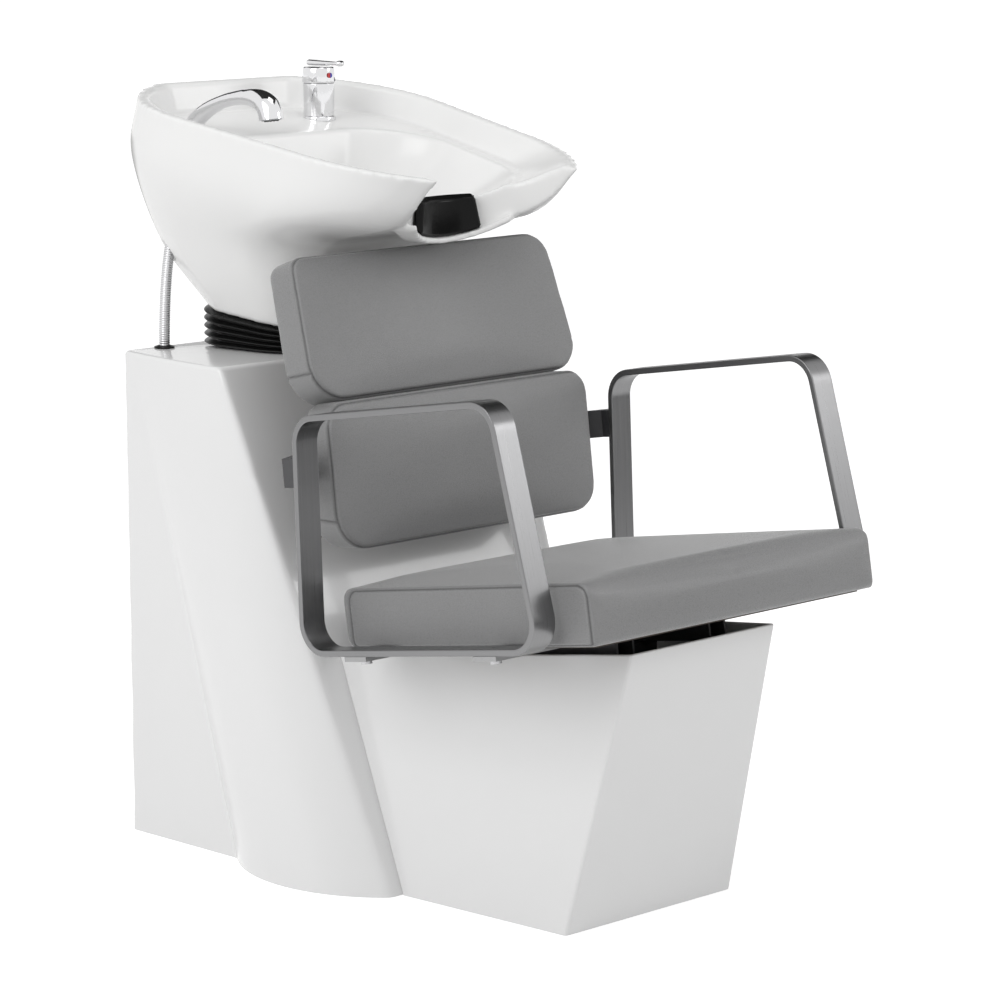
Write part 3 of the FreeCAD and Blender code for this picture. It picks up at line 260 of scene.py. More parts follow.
def add(tree, kind, settings=None, **inputs):
    """Add a node, a shader's unless its kind is given in full, and set its properties and sockets."""
    node = tree.nodes.new(kind if "Node" in kind else "ShaderNode" + kind)
    for key, value in (settings or {}).items():
        setattr(node, key, value)
    return filled(tree, node, inputs)


def maths(tree, operation, *values):
    sockets = {"i%d" % index: value for index, value in enumerate(values)}
    return add(tree, "Math", {"operation": operation}, **sockets).outputs[0]


def ranged(tree, value, low, high):
    """A value from 0 to 1 spread between two others."""
    return add(tree, "MapRange", Value=value, To_Min=low, To_Max=high).outputs[0]


def scaled(tree, vector, factor):
    return add(tree, "VectorMath", {"operation": "SCALE"}, i0=vector, Scale=factor).outputs[0]


def mottle_group():
    """Slow colour drift and fine unevenness, as any moulded or cast surface has."""
    tree, entry, leave = group_of(
        "cast_mottle",
        [("Vector", "Place", None), ("Color", "Tint", (1, 1, 1, 1)), ("Float", "Spread", 0.05),
         ("Float", "Scale", 8), ("Float", "Gloss", 0.3), ("Float", "Gloss Spread", 0.1)],
        [("Color", "Colour"), ("Float", "Roughness"), ("Float", "Height")])
    source = entry.outputs
    drift = add(tree, "TexNoise", Vector=source["Place"], Scale=source["Scale"], Detail=4.0)
    fine_scale = maths(tree, "MULTIPLY", source["Scale"], 14.0)
    fine = add(tree, "TexNoise", Vector=source["Place"], Scale=fine_scale, Detail=3.0)
    swing = maths(tree, "SUBTRACT", drift.outputs[0], 0.5)
    shade = maths(tree, "MULTIPLY_ADD", swing, source["Spread"], 1.0)
    ripple = maths(tree, "SUBTRACT", fine.outputs[0], 0.5)
    gloss = maths(tree, "MULTIPLY_ADD", ripple, source["Gloss Spread"], source["Gloss"])
    filled(tree, leave, {"Colour": scaled(tree, source["Tint"], shade), "Roughness": gloss,
                         "Height": fine.outputs[0]})
    return tree


def brush_group():
    """Long fine streaks, as a grinding belt leaves on steel."""
    tree, entry, leave = group_of(
        "belt_streaks", [("Vector", "Place", None), ("Vector", "Stretch", (12, 900, 900))],
        [("Float", "Streak"), ("Float", "Height")])
    spot = add(tree, "VectorMath", {"operation": "MULTIPLY"}, i0=entry.outputs["Place"],
               i1=entry.outputs["Stretch"])
    broad = add(tree, "TexNoise", Vector=spot.outputs[0], Scale=0.35, Detail=3.0)
    fine = add(tree, "TexNoise", Vector=spot.outputs[0], Scale=1.4, Detail=5.0, Roughness=0.7)
    half = maths(tree, "MULTIPLY", fine.outputs[0], 0.5)
    both = maths(tree, "MULTIPLY_ADD", broad.outputs[0], 0.5, half)
    filled(tree, leave, {"Streak": both, "Height": fine.outputs[0]})
    return tree


def grain_group():
    """Embossed hide grain of upholstery vinyl: small rounded cells with pores between them."""
    tree, entry, leave = group_of(
        "vinyl_grain", [("Vector", "Place", None), ("Float", "Scale", 620)],
        [("Float", "Height"), ("Float", "Tone")])
    source = entry.outputs
    warp = add(tree, "TexNoise", Vector=source["Place"], Scale=190.0, Detail=2.0)
    shift = scaled(tree, warp.outputs["Color"], 0.0025)
    spot = add(tree, "VectorMath", {"operation": "ADD"}, i0=source["Place"], i1=shift)
    cells = add(tree, "TexVoronoi", {"feature": "DISTANCE_TO_EDGE"}, Vector=spot.outputs[0],
                Scale=source["Scale"])
    rise = add(tree, "MapRange", {"interpolation_type": "SMOOTHSTEP"}, Value=cells.outputs[0], From_Max=0.22)
    pores = add(tree, "TexNoise", Vector=source["Place"], Scale=1400.0, Detail=2.0)
    mixed = maths(tree, "MULTIPLY_ADD", pores.outputs[0], 0.35, rise.outputs[0])
    filled(tree, leave, {"Height": mixed, "Tone": rise.outputs[0]})
    return tree


MOTTLE = mottle_group()
BRUSH = brush_group()
GRAIN = grain_group()


def finish(name, metallic=0.0, coat=0.0, **sockets):
    """A material with its shader's plain values set."""
    material = bpy.data.materials.new(name)
    material.use_nodes = True
    tree = material.node_tree
    shader = filled(tree, tree.nodes["Principled BSDF"], dict(sockets, Metallic=metallic, Coat_Weight=coat))
    return material, tree, shader, add(tree, "TexCoord").outputs["Object"]


def placed(tree, group, **inputs):
    node = add(tree, "Group", {"node_tree": group})
    return filled(tree, node, inputs).outputs


def bumped(tree, shader, height, depth, strength=1.0):
    bump = add(tree, "Bump", Height=height, Distance=depth, Strength=strength)
    filled(tree, shader, {"Normal": bump.outputs[0]})


def cast(name, tint, gloss, spread=0.05, scale=8.0, gloss_spread=0.08, depth=0.0001, **shader_values):
    """A moulded, cast or painted finish."""
    material, tree, shader, place = finish(name, **shader_values)
    mottle = placed(tree, MOTTLE, Place=place, Tint=(*tint, 1), Spread=spread, Scale=scale, Gloss=gloss,
                    Gloss_Spread=gloss_spread)
    filled(tree, shader, {"Base Color": mottle["Colour"], "Roughness": mottle["Roughness"]})
    bumped(tree, shader, mottle["Height"], depth)
    return material


def brushed(name, tint, gloss, stretch, by_uv=False):
    """Belt-ground steel with its streaks along one direction."""
    material, tree, shader, place = finish(name, metallic=1.0)
    if by_uv:
        place = add(tree, "TexCoord").outputs["UV"]
    streaks = placed(tree, BRUSH, Place=place, Stretch=stretch)
    colour = scaled(tree, tint, ranged(tree, streaks["Streak"], 0.82, 1.12))
    rough = ranged(tree, streaks["Streak"], gloss - 0.1, gloss + 0.1)
    filled(tree, shader, {"Base Color": colour, "Roughness": rough})
    bumped(tree, shader, streaks["Height"], 0.00006, 0.5)
    return material


def vinyl(name, tint):
    """Upholstery vinyl, with painted shade darkening the groove along each of its seams."""
    material, tree, shader, place = finish(name, Specular_IOR_Level=0.6, Sheen_Weight=0.55,
                                           Sheen_Roughness=0.3)
    mottle = placed(tree, MOTTLE, Place=place, Tint=(*tint, 1), Spread=0.16, Scale=5.0, Gloss=0.34,
                    Gloss_Spread=0.1)
    grain = placed(tree, GRAIN, Place=place, Scale=620.0)
    shade = ranged(tree, grain["Tone"], 0.86, 1.02)
    seam = add(tree, "Attribute", {"attribute_name": "seam"}).outputs["Fac"]
    # Painted shade: the colour is darkened by up to three quarters along the seam grooves that the seam
    # attribute marks.
    groove_shade = maths(tree, "MULTIPLY_ADD", seam, -0.75, 1.0)
    colour = scaled(tree, mottle["Colour"], maths(tree, "MULTIPLY", shade, groove_shade))
    filled(tree, shader, {"Base Color": colour, "Roughness": mottle["Roughness"]})
    bumped(tree, shader, grain["Height"], 0.0002, 0.6)
    return material


def plywood(name):
    material, tree, shader, place = finish(name)
    streaks = placed(tree, BRUSH, Place=place, Stretch=(14, 260, 260))
    ramp = add(tree, "ValToRGB", Fac=streaks["Streak"])
    ramp.color_ramp.elements[0].color = (0.035, 0.028, 0.022, 1)
    ramp.color_ramp.elements[1].color = (0.085, 0.066, 0.05, 1)
    rough = ranged(tree, streaks["Streak"], 0.55, 0.75)
    filled(tree, shader, {"Base Color": ramp.outputs[0], "Roughness": rough})
    bumped(tree, shader, streaks["Height"], 0.0002, 0.5)
    return material


SHELL = cast("white_shell", (0.8, 0.8, 0.8), 0.2, spread=0.03, scale=5, coat=0.35, depth=0.00004)
CERAMIC = cast("glazed_ceramic", (0.85, 0.85, 0.845), 0.2, spread=0.025, scale=4, gloss_spread=0.04,
               depth=0.00003, Specular_IOR_Level=0.4)
RUBBER = cast("black_rubber", (0.008, 0.008, 0.008), 0.32, spread=0.5, scale=12, gloss_spread=0.12,
              Specular_IOR_Level=0.25)
NECK_RUBBER = cast("neck_rubber", (0.006, 0.006, 0.006), 0.2, spread=0.5, scale=12, gloss_spread=0.06,
                   Specular_IOR_Level=0.12)
CHROME = cast("chrome", (0.78, 0.78, 0.79), 0.09, spread=0.04, scale=20, metallic=1.0, gloss_spread=0.06,
              depth=0.00001)
HOSE_METAL = cast("hose_metal", (0.6, 0.6, 0.61), 0.2, spread=0.1, scale=40, metallic=1.0, depth=0.00002)
BRASS = cast("brass", (0.62, 0.42, 0.16), 0.3, spread=0.15, scale=30, metallic=1.0)
DARK_STEEL = cast("dark_steel", (0.045, 0.045, 0.048), 0.45, spread=0.3, scale=14, gloss_spread=0.15)
DRAIN = cast("drain_plastic", (0.42, 0.43, 0.44), 0.5, spread=0.1, scale=10)
# Painted shade and reflection: the arm bars' steel is tinted far darker than the plate steel, standing in
# for the dark surroundings it reflects.
SHADED_ARM_STEEL = brushed("arm_steel", (0.235, 0.235, 0.238), 0.3, (7, 700, 700), by_uv=True)
PLATE_STEEL = brushed("brushed_steel", (0.52, 0.52, 0.53), 0.34, (9, 420, 420))
# Painted shade: the straps' steel is tinted darker than the plate steel, so that it matches the darkened arm
# bars above it.
SHADED_STRAP_STEEL = brushed("strap_steel", (0.34, 0.34, 0.343), 0.34, (9, 420, 420))
FIXING_STEEL = cast("steel_fixings", (0.5, 0.5, 0.51), 0.28, spread=0.15, scale=60, metallic=1.0)
PLY = plywood("plywood")

DOT_RED = (0.55, 0.02, 0.02, 1)
DOT_BLUE = (0.03, 0.06, 0.4, 1)
TAP = (0.092, 0.398, 0)


def index_plastic(name, middle):
    """A printed dot, red on one half and blue on the other."""
    material, tree, shader, place = finish(name, Roughness=0.3)
    across = add(tree, "SeparateXYZ", Vector=place).outputs[0]
    right = maths(tree, "GREATER_THAN", across, middle)
    mottle = placed(tree, MOTTLE, Place=place, Tint=(1, 1, 1, 1), Spread=0.2, Scale=300.0)
    halves = add(tree, "Mix", {"data_type": "RGBA"}, i0=right, i6=DOT_RED, i7=DOT_BLUE)
    shade = add(tree, "Mix", {"data_type": "RGBA", "blend_type": "MULTIPLY"}, i0=1.0, i6=halves.outputs[2],
                i7=mottle["Colour"])
    filled(tree, shader, {"Base Color": shade.outputs[2]})
    return material


DOT = index_plastic("index_plastic", TAP[0])
VINYL = vinyl("grey_vinyl", (0.235, 0.235, 0.237))

SLOTS = {
    "brushed_steel": PLATE_STEEL, "steel_fixings": FIXING_STEEL, "dark_steel": DARK_STEEL, "plywood": PLY,
    "grey_vinyl": VINYL, "white_shell": SHELL, "glazed_ceramic": CERAMIC, "black_rubber": RUBBER,
    "drain_plastic": DRAIN, "chrome": CHROME, "brass": BRASS, "hose_metal": HOSE_METAL, "index_plastic": DOT,
}
for part in frame["record"]["subparts"]:
    mesh = NODES[part["node"]].data
    mesh.materials.clear()
    mesh.materials.append(SLOTS[part["material_slot"]])
# The straps take the darkened steel, painted shade.
NODES["seat_straps"].data.materials[0] = SHADED_STRAP_STEEL

# Camera at the photograph's angle
camera = linked("camera", bpy.data.cameras.new("camera"))
camera.data.lens = 128.93
camera.data.sensor_width = 36
camera.location = (-3.0565, -3.339, 1.3313)
camera.rotation_euler = (math.radians(79.2933), 0, math.radians(-43))
camera.data.clip_end = 60
scene.camera = camera

# Shower hose: leaves the holder's foot, drops through the basin and goes back in at the column's top
HOSE_ROUTE = [(-0.122, 0.408, 0.914), (-0.122, 0.408, 0.860), (-0.190, 0.385, 0.772), (-0.189, 0.385, 0.611)]
HOSE_RADIUS = 0.0065
HOSE_RIB = 0.0009
HOSE_PITCH = 0.003
RIB_STEPS = 6


def spline_of(points, resolution=40):
    """Points of the smooth spline that a route's points control."""
    curve = bpy.data.curves.new("route", "CURVE")
    curve.dimensions = "3D"
    curve.resolution_u = resolution
    spline = curve.splines.new("NURBS")
    spline.points.add(len(points) - 1)
    for point, spot in zip(spline.points, points):
        point.co = (*spot, 1)
    spline.order_u = 3
    spline.use_endpoint_u = True
    carrier = linked("route", curve)
    graph = bpy.context.evaluated_depsgraph_get()
    mesh = bpy.data.meshes.new_from_object(carrier.evaluated_get(graph))
    spots = [v.co.copy() for v in mesh.vertices]
    bpy.data.objects.remove(carrier)
    bpy.data.meshes.remove(mesh)
    return spots


def line_length(points):
    return float(np.sum(np.linalg.norm(np.diff(np.array([tuple(p) for p in points]), axis=0), axis=1)))


def ribbed(name, points):
    """A metal hose wound from strip, its outside in even rounded ribs."""
    length = line_length(points)
    count = int(length / HOSE_PITCH) * RIB_STEPS
    line = spaced(points, count + 1)
    swing = 0.5 - 0.5 * np.cos(np.linspace(0, 2 * math.pi * count / RIB_STEPS, count + 1))
    radii = HOSE_RADIUS + HOSE_RIB * np.sqrt(swing)
    return tube(name, line, radii, 20)


hose_line = spline_of(HOSE_ROUTE)
hose = ribbed("shower_hose_ribbed", hose_line)
hose.data.materials.append(HOSE_METAL)
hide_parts("shower_hose")
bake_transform(hose)

# Chair frames
SEAT_TILT = math.radians(9.87)
HEEL_BACK, HEEL_HEIGHT = -0.010, 0.316


def on_seat(across, forward, up):
    """A point of the seat's tilted frame: forward from the heel of the arms, up square to the seat."""
    return Vector((across, HEEL_BACK - forward * math.cos(SEAT_TILT) + up * math.sin(SEAT_TILT),
                   HEEL_HEIGHT + forward * math.sin(SEAT_TILT) + up * math.cos(SEAT_TILT)))


def on_back(foot, lean):
    """Points of a back cushion's leaning frame: across, back from its face, up along it."""
    lean = math.radians(lean)

    def at(across, back, up):
        return Vector((across, foot[0] + back * math.cos(lean) + up * math.sin(lean),
                       foot[1] - back * math.sin(lean) + up * math.cos(lean)))

    return at


# Arm loops: flat bar bent into a closed trapezium, edges eased
ARM_CORNERS = [(0, 0), (0.437, 0), (0.3995, 0.298), (0.0375, 0.298)]
ARM_RADIUS = 0.040
BAR_WIDTH = 0.035
BAR_THICK = 0.008
BAR_EASE = 0.0011


def bar_section():
    """The bar's outline, across and deep; a point held beside each eased edge keeps its faces flat."""
    half, high, ease = BAR_WIDTH / 2, BAR_THICK, BAR_EASE
    turn, hold = 0.3 * ease, 1.6 * ease
    corner = [(half - hold, 0), (half - ease, 0), (half - turn, turn), (half, ease), (half, hold),
              (half, high - hold), (half, high - ease), (half - turn, high - turn), (half - ease, high),
              (half - hold, high)]
    return corner + [(-across, deep) for across, deep in corner[::-1]]


def running_length(points):
    """How far along a closed line each of its points lies, and its first one again."""
    line = np.array([tuple(p) for p in points])
    steps = np.linalg.norm(np.roll(line, -1, axis=0) - line, axis=1)
    return np.concatenate([[0], np.cumsum(steps)])


def arm_loop(name, place):
    line = spaced(rounded(ARM_CORNERS, [ARM_RADIUS] * len(ARM_CORNERS), 24), 260, closed=True)
    section = bar_section()
    lines = [drawn_in(line, deep) for across, deep in section]
    rings = [[on_seat(place + across, *drawn[step]) for (across, deep), drawn in zip(section, lines)]
             for step in range(len(line))]
    rings.append(rings[0])
    obj = loft(name, rings, False, CRISP_BAR)
    count = len(section)
    run, girth = running_length(line), running_length(section)
    layer = obj.data.uv_layers.new(name="UVMap")
    for face in obj.data.polygons:
        columns = [v % count for v in face.vertices]
        closing = 0 in columns and count - 1 in columns
        for corner, vertex, column in zip(face.loop_indices, face.vertices, columns):
            column = count if closing and column == 0 else column
            layer.data[corner].uv = (run[vertex // count], girth[column])
    return welded(obj, CRISP_BAR)


ARM_PLACE = 0.2725
for side, word in ((-1, "right"), (1, "left")):
    dressed(arm_loop("arm_loop_%s_bar" % word, side * ARM_PLACE), SHADED_ARM_STEEL, "base", "arm_loop_" + word)


# Arm bolts: socket heads under the straps, one tree placed on four points
def bolt_tree():
    tree = bpy.data.node_groups.new("socket_bolts", "GeometryNodeTree")
    for kind, label in (("Geometry", "Spots"), ("Float", "Head Radius"), ("Float", "Head Height"),
                        ("Float", "Socket Radius"), ("Float", "Shank Radius"), ("Float", "Shank Length"),
                        ("Vector", "Turn"), ("Material", "Finish")):
        tree.interface.new_socket(label, in_out="INPUT", socket_type="NodeSocket" + kind)
    tree.interface.new_socket("Bolts", in_out="OUTPUT", socket_type="NodeSocketGeometry")
    source = tree.nodes.new("NodeGroupInput").outputs
    leave = tree.nodes.new("NodeGroupOutput")

    def rod(vertices, radius, depth, middle):
        shape = add(tree, "GeometryNodeMeshCylinder", Vertices=vertices, Radius=radius, Depth=depth)
        lift = add(tree, "CombineXYZ", Z=middle)
        return add(tree, "GeometryNodeTransform", Geometry=shape.outputs["Mesh"],
                   Translation=lift.outputs[0]).outputs[0]

    half_head = maths(tree, "MULTIPLY", source["Head Height"], 0.5)
    head = rod(32, source["Head Radius"], source["Head Height"], half_head)
    socket = rod(6, source["Socket Radius"], source["Head Height"], 0.0)
    cup = add(tree, "GeometryNodeMeshBoolean", {"operation": "DIFFERENCE"}, Mesh_1=head, Mesh_2=socket)
    half_shank = maths(tree, "MULTIPLY_ADD", source["Shank Length"], 0.5, source["Head Height"])
    shank = rod(24, source["Shank Radius"], source["Shank Length"], half_shank)
    whole = tree.nodes.new("GeometryNodeJoinGeometry")
    tree.links.new(cup.outputs["Mesh"], whole.inputs[0])
    tree.links.new(shank, whole.inputs[0])
    turn = add(tree, "FunctionNodeEulerToRotation", Euler=source["Turn"])
    placed_bolts = add(tree, "GeometryNodeInstanceOnPoints", Points=source["Spots"],
                       Instance=whole.outputs[0], Rotation=turn.outputs[0])
    real = add(tree, "GeometryNodeRealizeInstances", Geometry=placed_bolts.outputs[0])
    done = add(tree, "GeometryNodeSetMaterial", Geometry=real.outputs[0], Material=source["Finish"])
    tree.links.new(done.outputs[0], leave.inputs[0])
    return tree


def pieces_of(node, reach=0.03):
    """The vertices of a node's separate pieces, gathered by nearness."""
    groups = []
    for vertex in NODES[node].data.vertices:
        for group in groups:
            if (group[0] - vertex.co).length < reach:
                group.append(vertex.co)
                break
        else:
            groups.append([vertex.co])
    return groups


def bolts_on(name, spots, **values):
    """Bolts on the given spots, as one plain mesh."""
    mesh = bpy.data.meshes.new(name)
    mesh.from_pydata([tuple(spot) for spot in spots], [], [])
    obj = linked(name, mesh)
    maker = obj.modifiers.new("bolts", "NODES")
    maker.node_group = BOLTS
    for item in BOLTS.interface.items_tree:
        key = item.name.replace(" ", "_")
        if item.in_out == "INPUT" and key in values:
            maker[item.identifier] = values[key]
    return settle(obj, CRISP_BAR)


def arm_bolts():
    up = (on_seat(0, 0, 1) - on_seat(0, 0, 0)).normalized()
    spots, lengths = [], []
    for group in pieces_of("arm_bolts"):
        levels = [spot.dot(up) for spot in group]
        middle = sum(group, Vector()) / len(group)
        spots.append(middle + up * (min(levels) - middle.dot(up)))
        lengths.append(max(levels) - min(levels) - BOLT_HEAD)
    return bolts_on("arm_bolt_set", spots, Head_Radius=0.007, Head_Height=BOLT_HEAD, Socket_Radius=0.0034,
                    Shank_Radius=0.004, Shank_Length=min(lengths), Turn=(-SEAT_TILT, 0, 0),
                    Finish=FIXING_STEEL)


BOLT_HEAD = 0.005
BOLTS = bolt_tree()
dressed(arm_bolts(), FIXING_STEEL, "base", "arm_bolts")


# Cushions: sewn covers over foam
VOXEL = 0.004
SEAM_HOLD = 0.005
SEAM_STEP = 0.0012
SWELL_FRAMES = 20
PANEL_EASE = 0.005
FLAT_MARGIN = 0.004
SWELL_CAP = 0.004
COVER_EASE = 3


def remeshed(obj, voxel):
    remesh = obj.modifiers.new("remesh", "REMESH")
    remesh.mode = "VOXEL"
    remesh.voxel_size = voxel
    return settle(obj)


def eased(obj, rounds):
    """Smooth a piece's mesh over a number of rounds."""
    ease = obj.modifiers.new("ease", "SMOOTH")
    ease.factor = 0.5
    ease.iterations = rounds


def places_of(mesh):
    spots = np.empty(len(mesh.vertices) * 3)
    mesh.vertices.foreach_get("co", spots)
    return spots.reshape(-1, 3)


def from_seams(mesh, lines):
    """How far each vertex lies from the nearest seam, the seams first laid on the cover."""
    tree = BVHTree.FromPolygons([v.co for v in mesh.vertices], [tuple(p.vertices) for p in mesh.polygons])
    spots = []
    for line in lines:
        count = max(40, int(line_length(line) / SEAM_STEP))
        spots += [tree.find_nearest(Vector(spot))[0] for spot in spaced(line, count)]
    lookup = KDTree(len(spots))
    for index, spot in enumerate(spots):
        lookup.insert(spot, index)
    lookup.balance()
    return np.array([lookup.find(spot)[2] for spot in places_of(mesh)])


def stuffed(obj, seams, flat):
    """Swell a cover with its filling: cloth under pressure, held at its seams and where it lies flat."""
    rest = places_of(obj.data)
    held = (from_seams(obj.data, seams) < SEAM_HOLD) | flat(rest)
    group = obj.vertex_groups.new(name="held")
    group.add([int(i) for i in np.flatnonzero(held)], 1.0, "REPLACE")
    cloth = obj.modifiers.new("swell", "CLOTH")
    for key, value in (("vertex_group_mass", "held"), ("use_pressure", True), ("quality", 5),
                       ("uniform_pressure_force", 2.5), ("tension_stiffness", 30),
                       ("compression_stiffness", 30), ("bending_stiffness", 4.0)):
        setattr(cloth.settings, key, value)
    cloth.settings.effector_weights.gravity = 0
    cloth.collision_settings.use_collision = False
    for step in range(1, SWELL_FRAMES + 1):
        scene.frame_set(step)
    settle(obj)
    scene.frame_set(1)
    moved = places_of(obj.data) - rest
    far = np.linalg.norm(moved, axis=1)
    rest = rest + moved * np.minimum(1, SWELL_CAP / np.maximum(far, WELD))[:, None]
    obj.data.vertices.foreach_set("co", rest.ravel())
    obj.data.update()
    eased(obj, COVER_EASE)
    finer = obj.modifiers.new("finer", "SUBSURF")
    finer.levels = finer.render_levels = 1
    return settle(obj)


def sewn(obj, lines, depth=0.0018, width=0.0015, lip=0.0004):
    """Draw the cover in along its seams, with a soft lip each side, and mark the groove line where shade is
    painted.
    """
    mesh = obj.data
    normals = np.array([tuple(item.vector) for item in mesh.vertex_normals])
    away = from_seams(mesh, lines)
    # The mask of painted seam shade, strongest at the middle of each groove, stored as the seam attribute.
    line = np.exp(-((away / width) ** 2))
    draw = lip * np.exp(-((away - 2.6 * width) / (1.2 * width)) ** 2) - depth * line
    mesh.vertices.foreach_set("co", (places_of(mesh) + normals * draw[:, None]).ravel())
    seam_shade = mesh.attributes.new("seam", "FLOAT", "POINT")
    seam_shade.data.foreach_set("value", line)
    mesh.update()


def end_rounded(outline, low, high, ease, place, steps=5):
    """Rings of an outline carried along a third direction, its two ends rounded off."""
    rings = []
    for end, way in ((low, 1), (high, -1)):
        part = []
        for step in range(steps + 1):
            angle = math.pi / 2 * step / steps
            inset = ease * (1 - math.sin(angle))
            level = end + way * ease * (1 - math.cos(angle))
            part.append([place(level, p) for p in drawn_in(outline, inset)])
        rings += part if way == 1 else part[::-1]
    return rings


def set_on(obj, place):
    """Carry a piece from its own square frame to its place on the chair."""
    corner = place(0, 0, 0)
    ways = [place(*way) - corner for way in ((1, 0, 0), (0, 1, 0), (0, 0, 1))]
    turn = Matrix([(*row, shift) for row, shift in zip(zip(*ways), corner)] + [(0, 0, 0, 1)])
    obj.data.transform(turn)
    obj.data.update()


def covered(obj, node, place, seams, flat):
    stuffed(obj, seams, flat)
    sewn(obj, seams)
    set_on(obj, place)
    dressed(obj, VINYL, "base", node, slot="grey_vinyl")


SEAT_HALF = 0.2445
SEAT_REAR, SEAT_FRONT = 0.037, 0.480
SEAT_LOW, SEAT_HIGH = 0.0025, 0.0785
SEAT_CROWN = 0.006
SEAT_EDGES = (0.014, 0.005, 0.017, 0.014)
SEAT_PANEL = (SEAT_REAR + 0.014, SEAT_FRONT - 0.003, SEAT_LOW, SEAT_HIGH - 0.002)
SEAT_PANEL_EDGES = (0.012, 0.004, 0.02, 0.018)


def corners_of(near, far, low, high):
    return [(near, low), (far, low), (far, high), (near, high)]


def swell(share):
    """A crown's rise over a panel, from its middle at 0 to its edge at 1."""
    return 1 - np.minimum(1, np.abs(share)) ** 2.6


def seat_cushion():
    """The seat's frame here: across, back from its heel, up; its front panel rolls over the nose."""
    outline = rounded(corners_of(SEAT_REAR, SEAT_FRONT, SEAT_LOW, SEAT_HIGH), SEAT_EDGES, 8)
    rings = end_rounded(outline, -SEAT_HALF, SEAT_HALF, PANEL_EASE, lambda level, p: (level, -p[0], p[1]))
    obj = remeshed(loft("seat_cushion_cover", rings), VOXEL)
    spots = places_of(obj.data)
    middle = (SEAT_REAR + SEAT_FRONT) / 2
    tall = np.clip((spots[:, 2] - SEAT_LOW) / (SEAT_HIGH - SEAT_LOW), 0, 1)
    along = (-spots[:, 1] - middle) / (SEAT_FRONT - middle)
    spots[:, 2] += SEAT_CROWN * tall * swell(spots[:, 0] / SEAT_HALF) * swell(along)
    obj.data.vertices.foreach_set("co", spots.ravel())
    panel = rounded(corners_of(*SEAT_PANEL), SEAT_PANEL_EDGES, 8)
    seams = [[(side * SEAT_HALF, -p[0], p[1]) for p in panel + panel[:1]] for side in (-1, 1)]
    covered(obj, "seat_cushion", lambda x, y, z: on_seat(x, -y, z), seams,
            lambda rest: rest[:, 2] < SEAT_LOW + FLAT_MARGIN)


BACK_HALF = 0.2245
BACK_LENGTH = 0.182
BACK_DEEP = 0.053
BACK_FOOT = 0.004
BACK_CROWN = 0.008
BACK_SEAM = 0.003
BAND_SEAM, BAND_SLOPE = 0.034, 0.1


def back_cushion(name, node, place, radii, taper=0.0):
    """A padded panel, narrower by a taper towards its top: a face, and a boxing band round it."""
    foot, head = BACK_HALF + taper, BACK_HALF - taper
    corners = [(-foot, -BACK_FOOT), (foot, -BACK_FOOT), (head, BACK_LENGTH), (-head, BACK_LENGTH)]
    outline = rounded(corners, radii, 10)
    rings = end_rounded(outline, 0, BACK_DEEP, PANEL_EASE, lambda level, p: (p[0], level, p[1]))
    obj = remeshed(loft(name, rings), VOXEL)
    spots = places_of(obj.data)
    front = np.clip(1 - spots[:, 1] / BACK_DEEP, 0, 1)
    along = 2 * spots[:, 2] / BACK_LENGTH - 1
    spots[:, 1] -= BACK_CROWN * front * swell(spots[:, 0] / BACK_HALF) * swell(along)
    obj.data.vertices.foreach_set("co", spots.ravel())
    seams = [[(p[0], BACK_SEAM, p[1]) for p in outline + outline[:1]]]
    for side in (-1, 1):
        seams.append([(side * BACK_HALF, deep, BAND_SEAM + BAND_SLOPE * deep)
                      for deep in (BACK_SEAM, 0.02, 0.04, BACK_DEEP)])
    covered(obj, node, place, seams, lambda rest: rest[:, 1] > BACK_DEEP - FLAT_MARGIN)


LOWER_BACK = on_back((-0.012, 0.442), 7.7)
UPPER_BACK = on_back((0.0267, 0.6276), 19.4)
LOWER_CORNERS, UPPER_CORNERS = (0.05, 0.035, 0.03, 0.03), (0.05, 0.04, 0.035, 0.02)
UPPER_TAPER = 0.007
seat_cushion()
back_cushion("lower_back_cover", "lower_back_cushion", LOWER_BACK, LOWER_CORNERS)
back_cushion("upper_back_cover", "upper_back_cushion", UPPER_BACK, UPPER_CORNERS, UPPER_TAPER)


# White shells
def sided(corners, radius, arc_steps=8, side_steps=24):
    """A closed line with rounded corners and the same count of points on each side."""
    arcs = rounded([tuple(corner) for corner in corners], [radius] * len(corners), arc_steps)
    size = arc_steps + 1
    line = []
    for start in range(0, len(arcs), size):
        arc = arcs[start:start + size]
        ahead = arcs[(start + size) % len(arcs)]
        line += arc + [arc[-1].lerp(ahead, step / side_steps) for step in range(1, side_steps)]
    return np.array([tuple(p) for p in line])


def straight(first, last, steps):
    """Evenly spaced points from one 2-D point to another, the last one left out."""
    first, last = np.array(first), np.array(last)
    return [tuple(first + (last - first) * step / steps) for step in range(steps)]


def arc_through(first, middle, last, steps):
    """Points of the circle's arc through three 2-D points, the last one left out."""
    (ax, ay), (bx, by), (cx, cy) = first, middle, last
    span = 2 * (ax * (by - cy) + bx * (cy - ay) + cx * (ay - by))
    if abs(span) < 1e-12:
        return straight(first, last, steps)
    ux = ((ax**2 + ay**2) * (by - cy) + (bx**2 + by**2) * (cy - ay) + (cx**2 + cy**2) * (ay - by)) / span
    uy = ((ax**2 + ay**2) * (cx - bx) + (bx**2 + by**2) * (ax - cx) + (cx**2 + cy**2) * (bx - ax)) / span
    radius = math.hypot(ax - ux, ay - uy)
    begin, mid, end = (math.atan2(y - uy, x - ux) for x, y in (first, middle, last))
    turn = (end - begin) % (2 * math.pi)
    if (mid - begin) % (2 * math.pi) > turn:
        turn -= 2 * math.pi
    angles = [begin + turn * step / steps for step in range(steps)]
    return [(ux + radius * math.cos(angle), uy + radius * math.sin(angle)) for angle in angles]


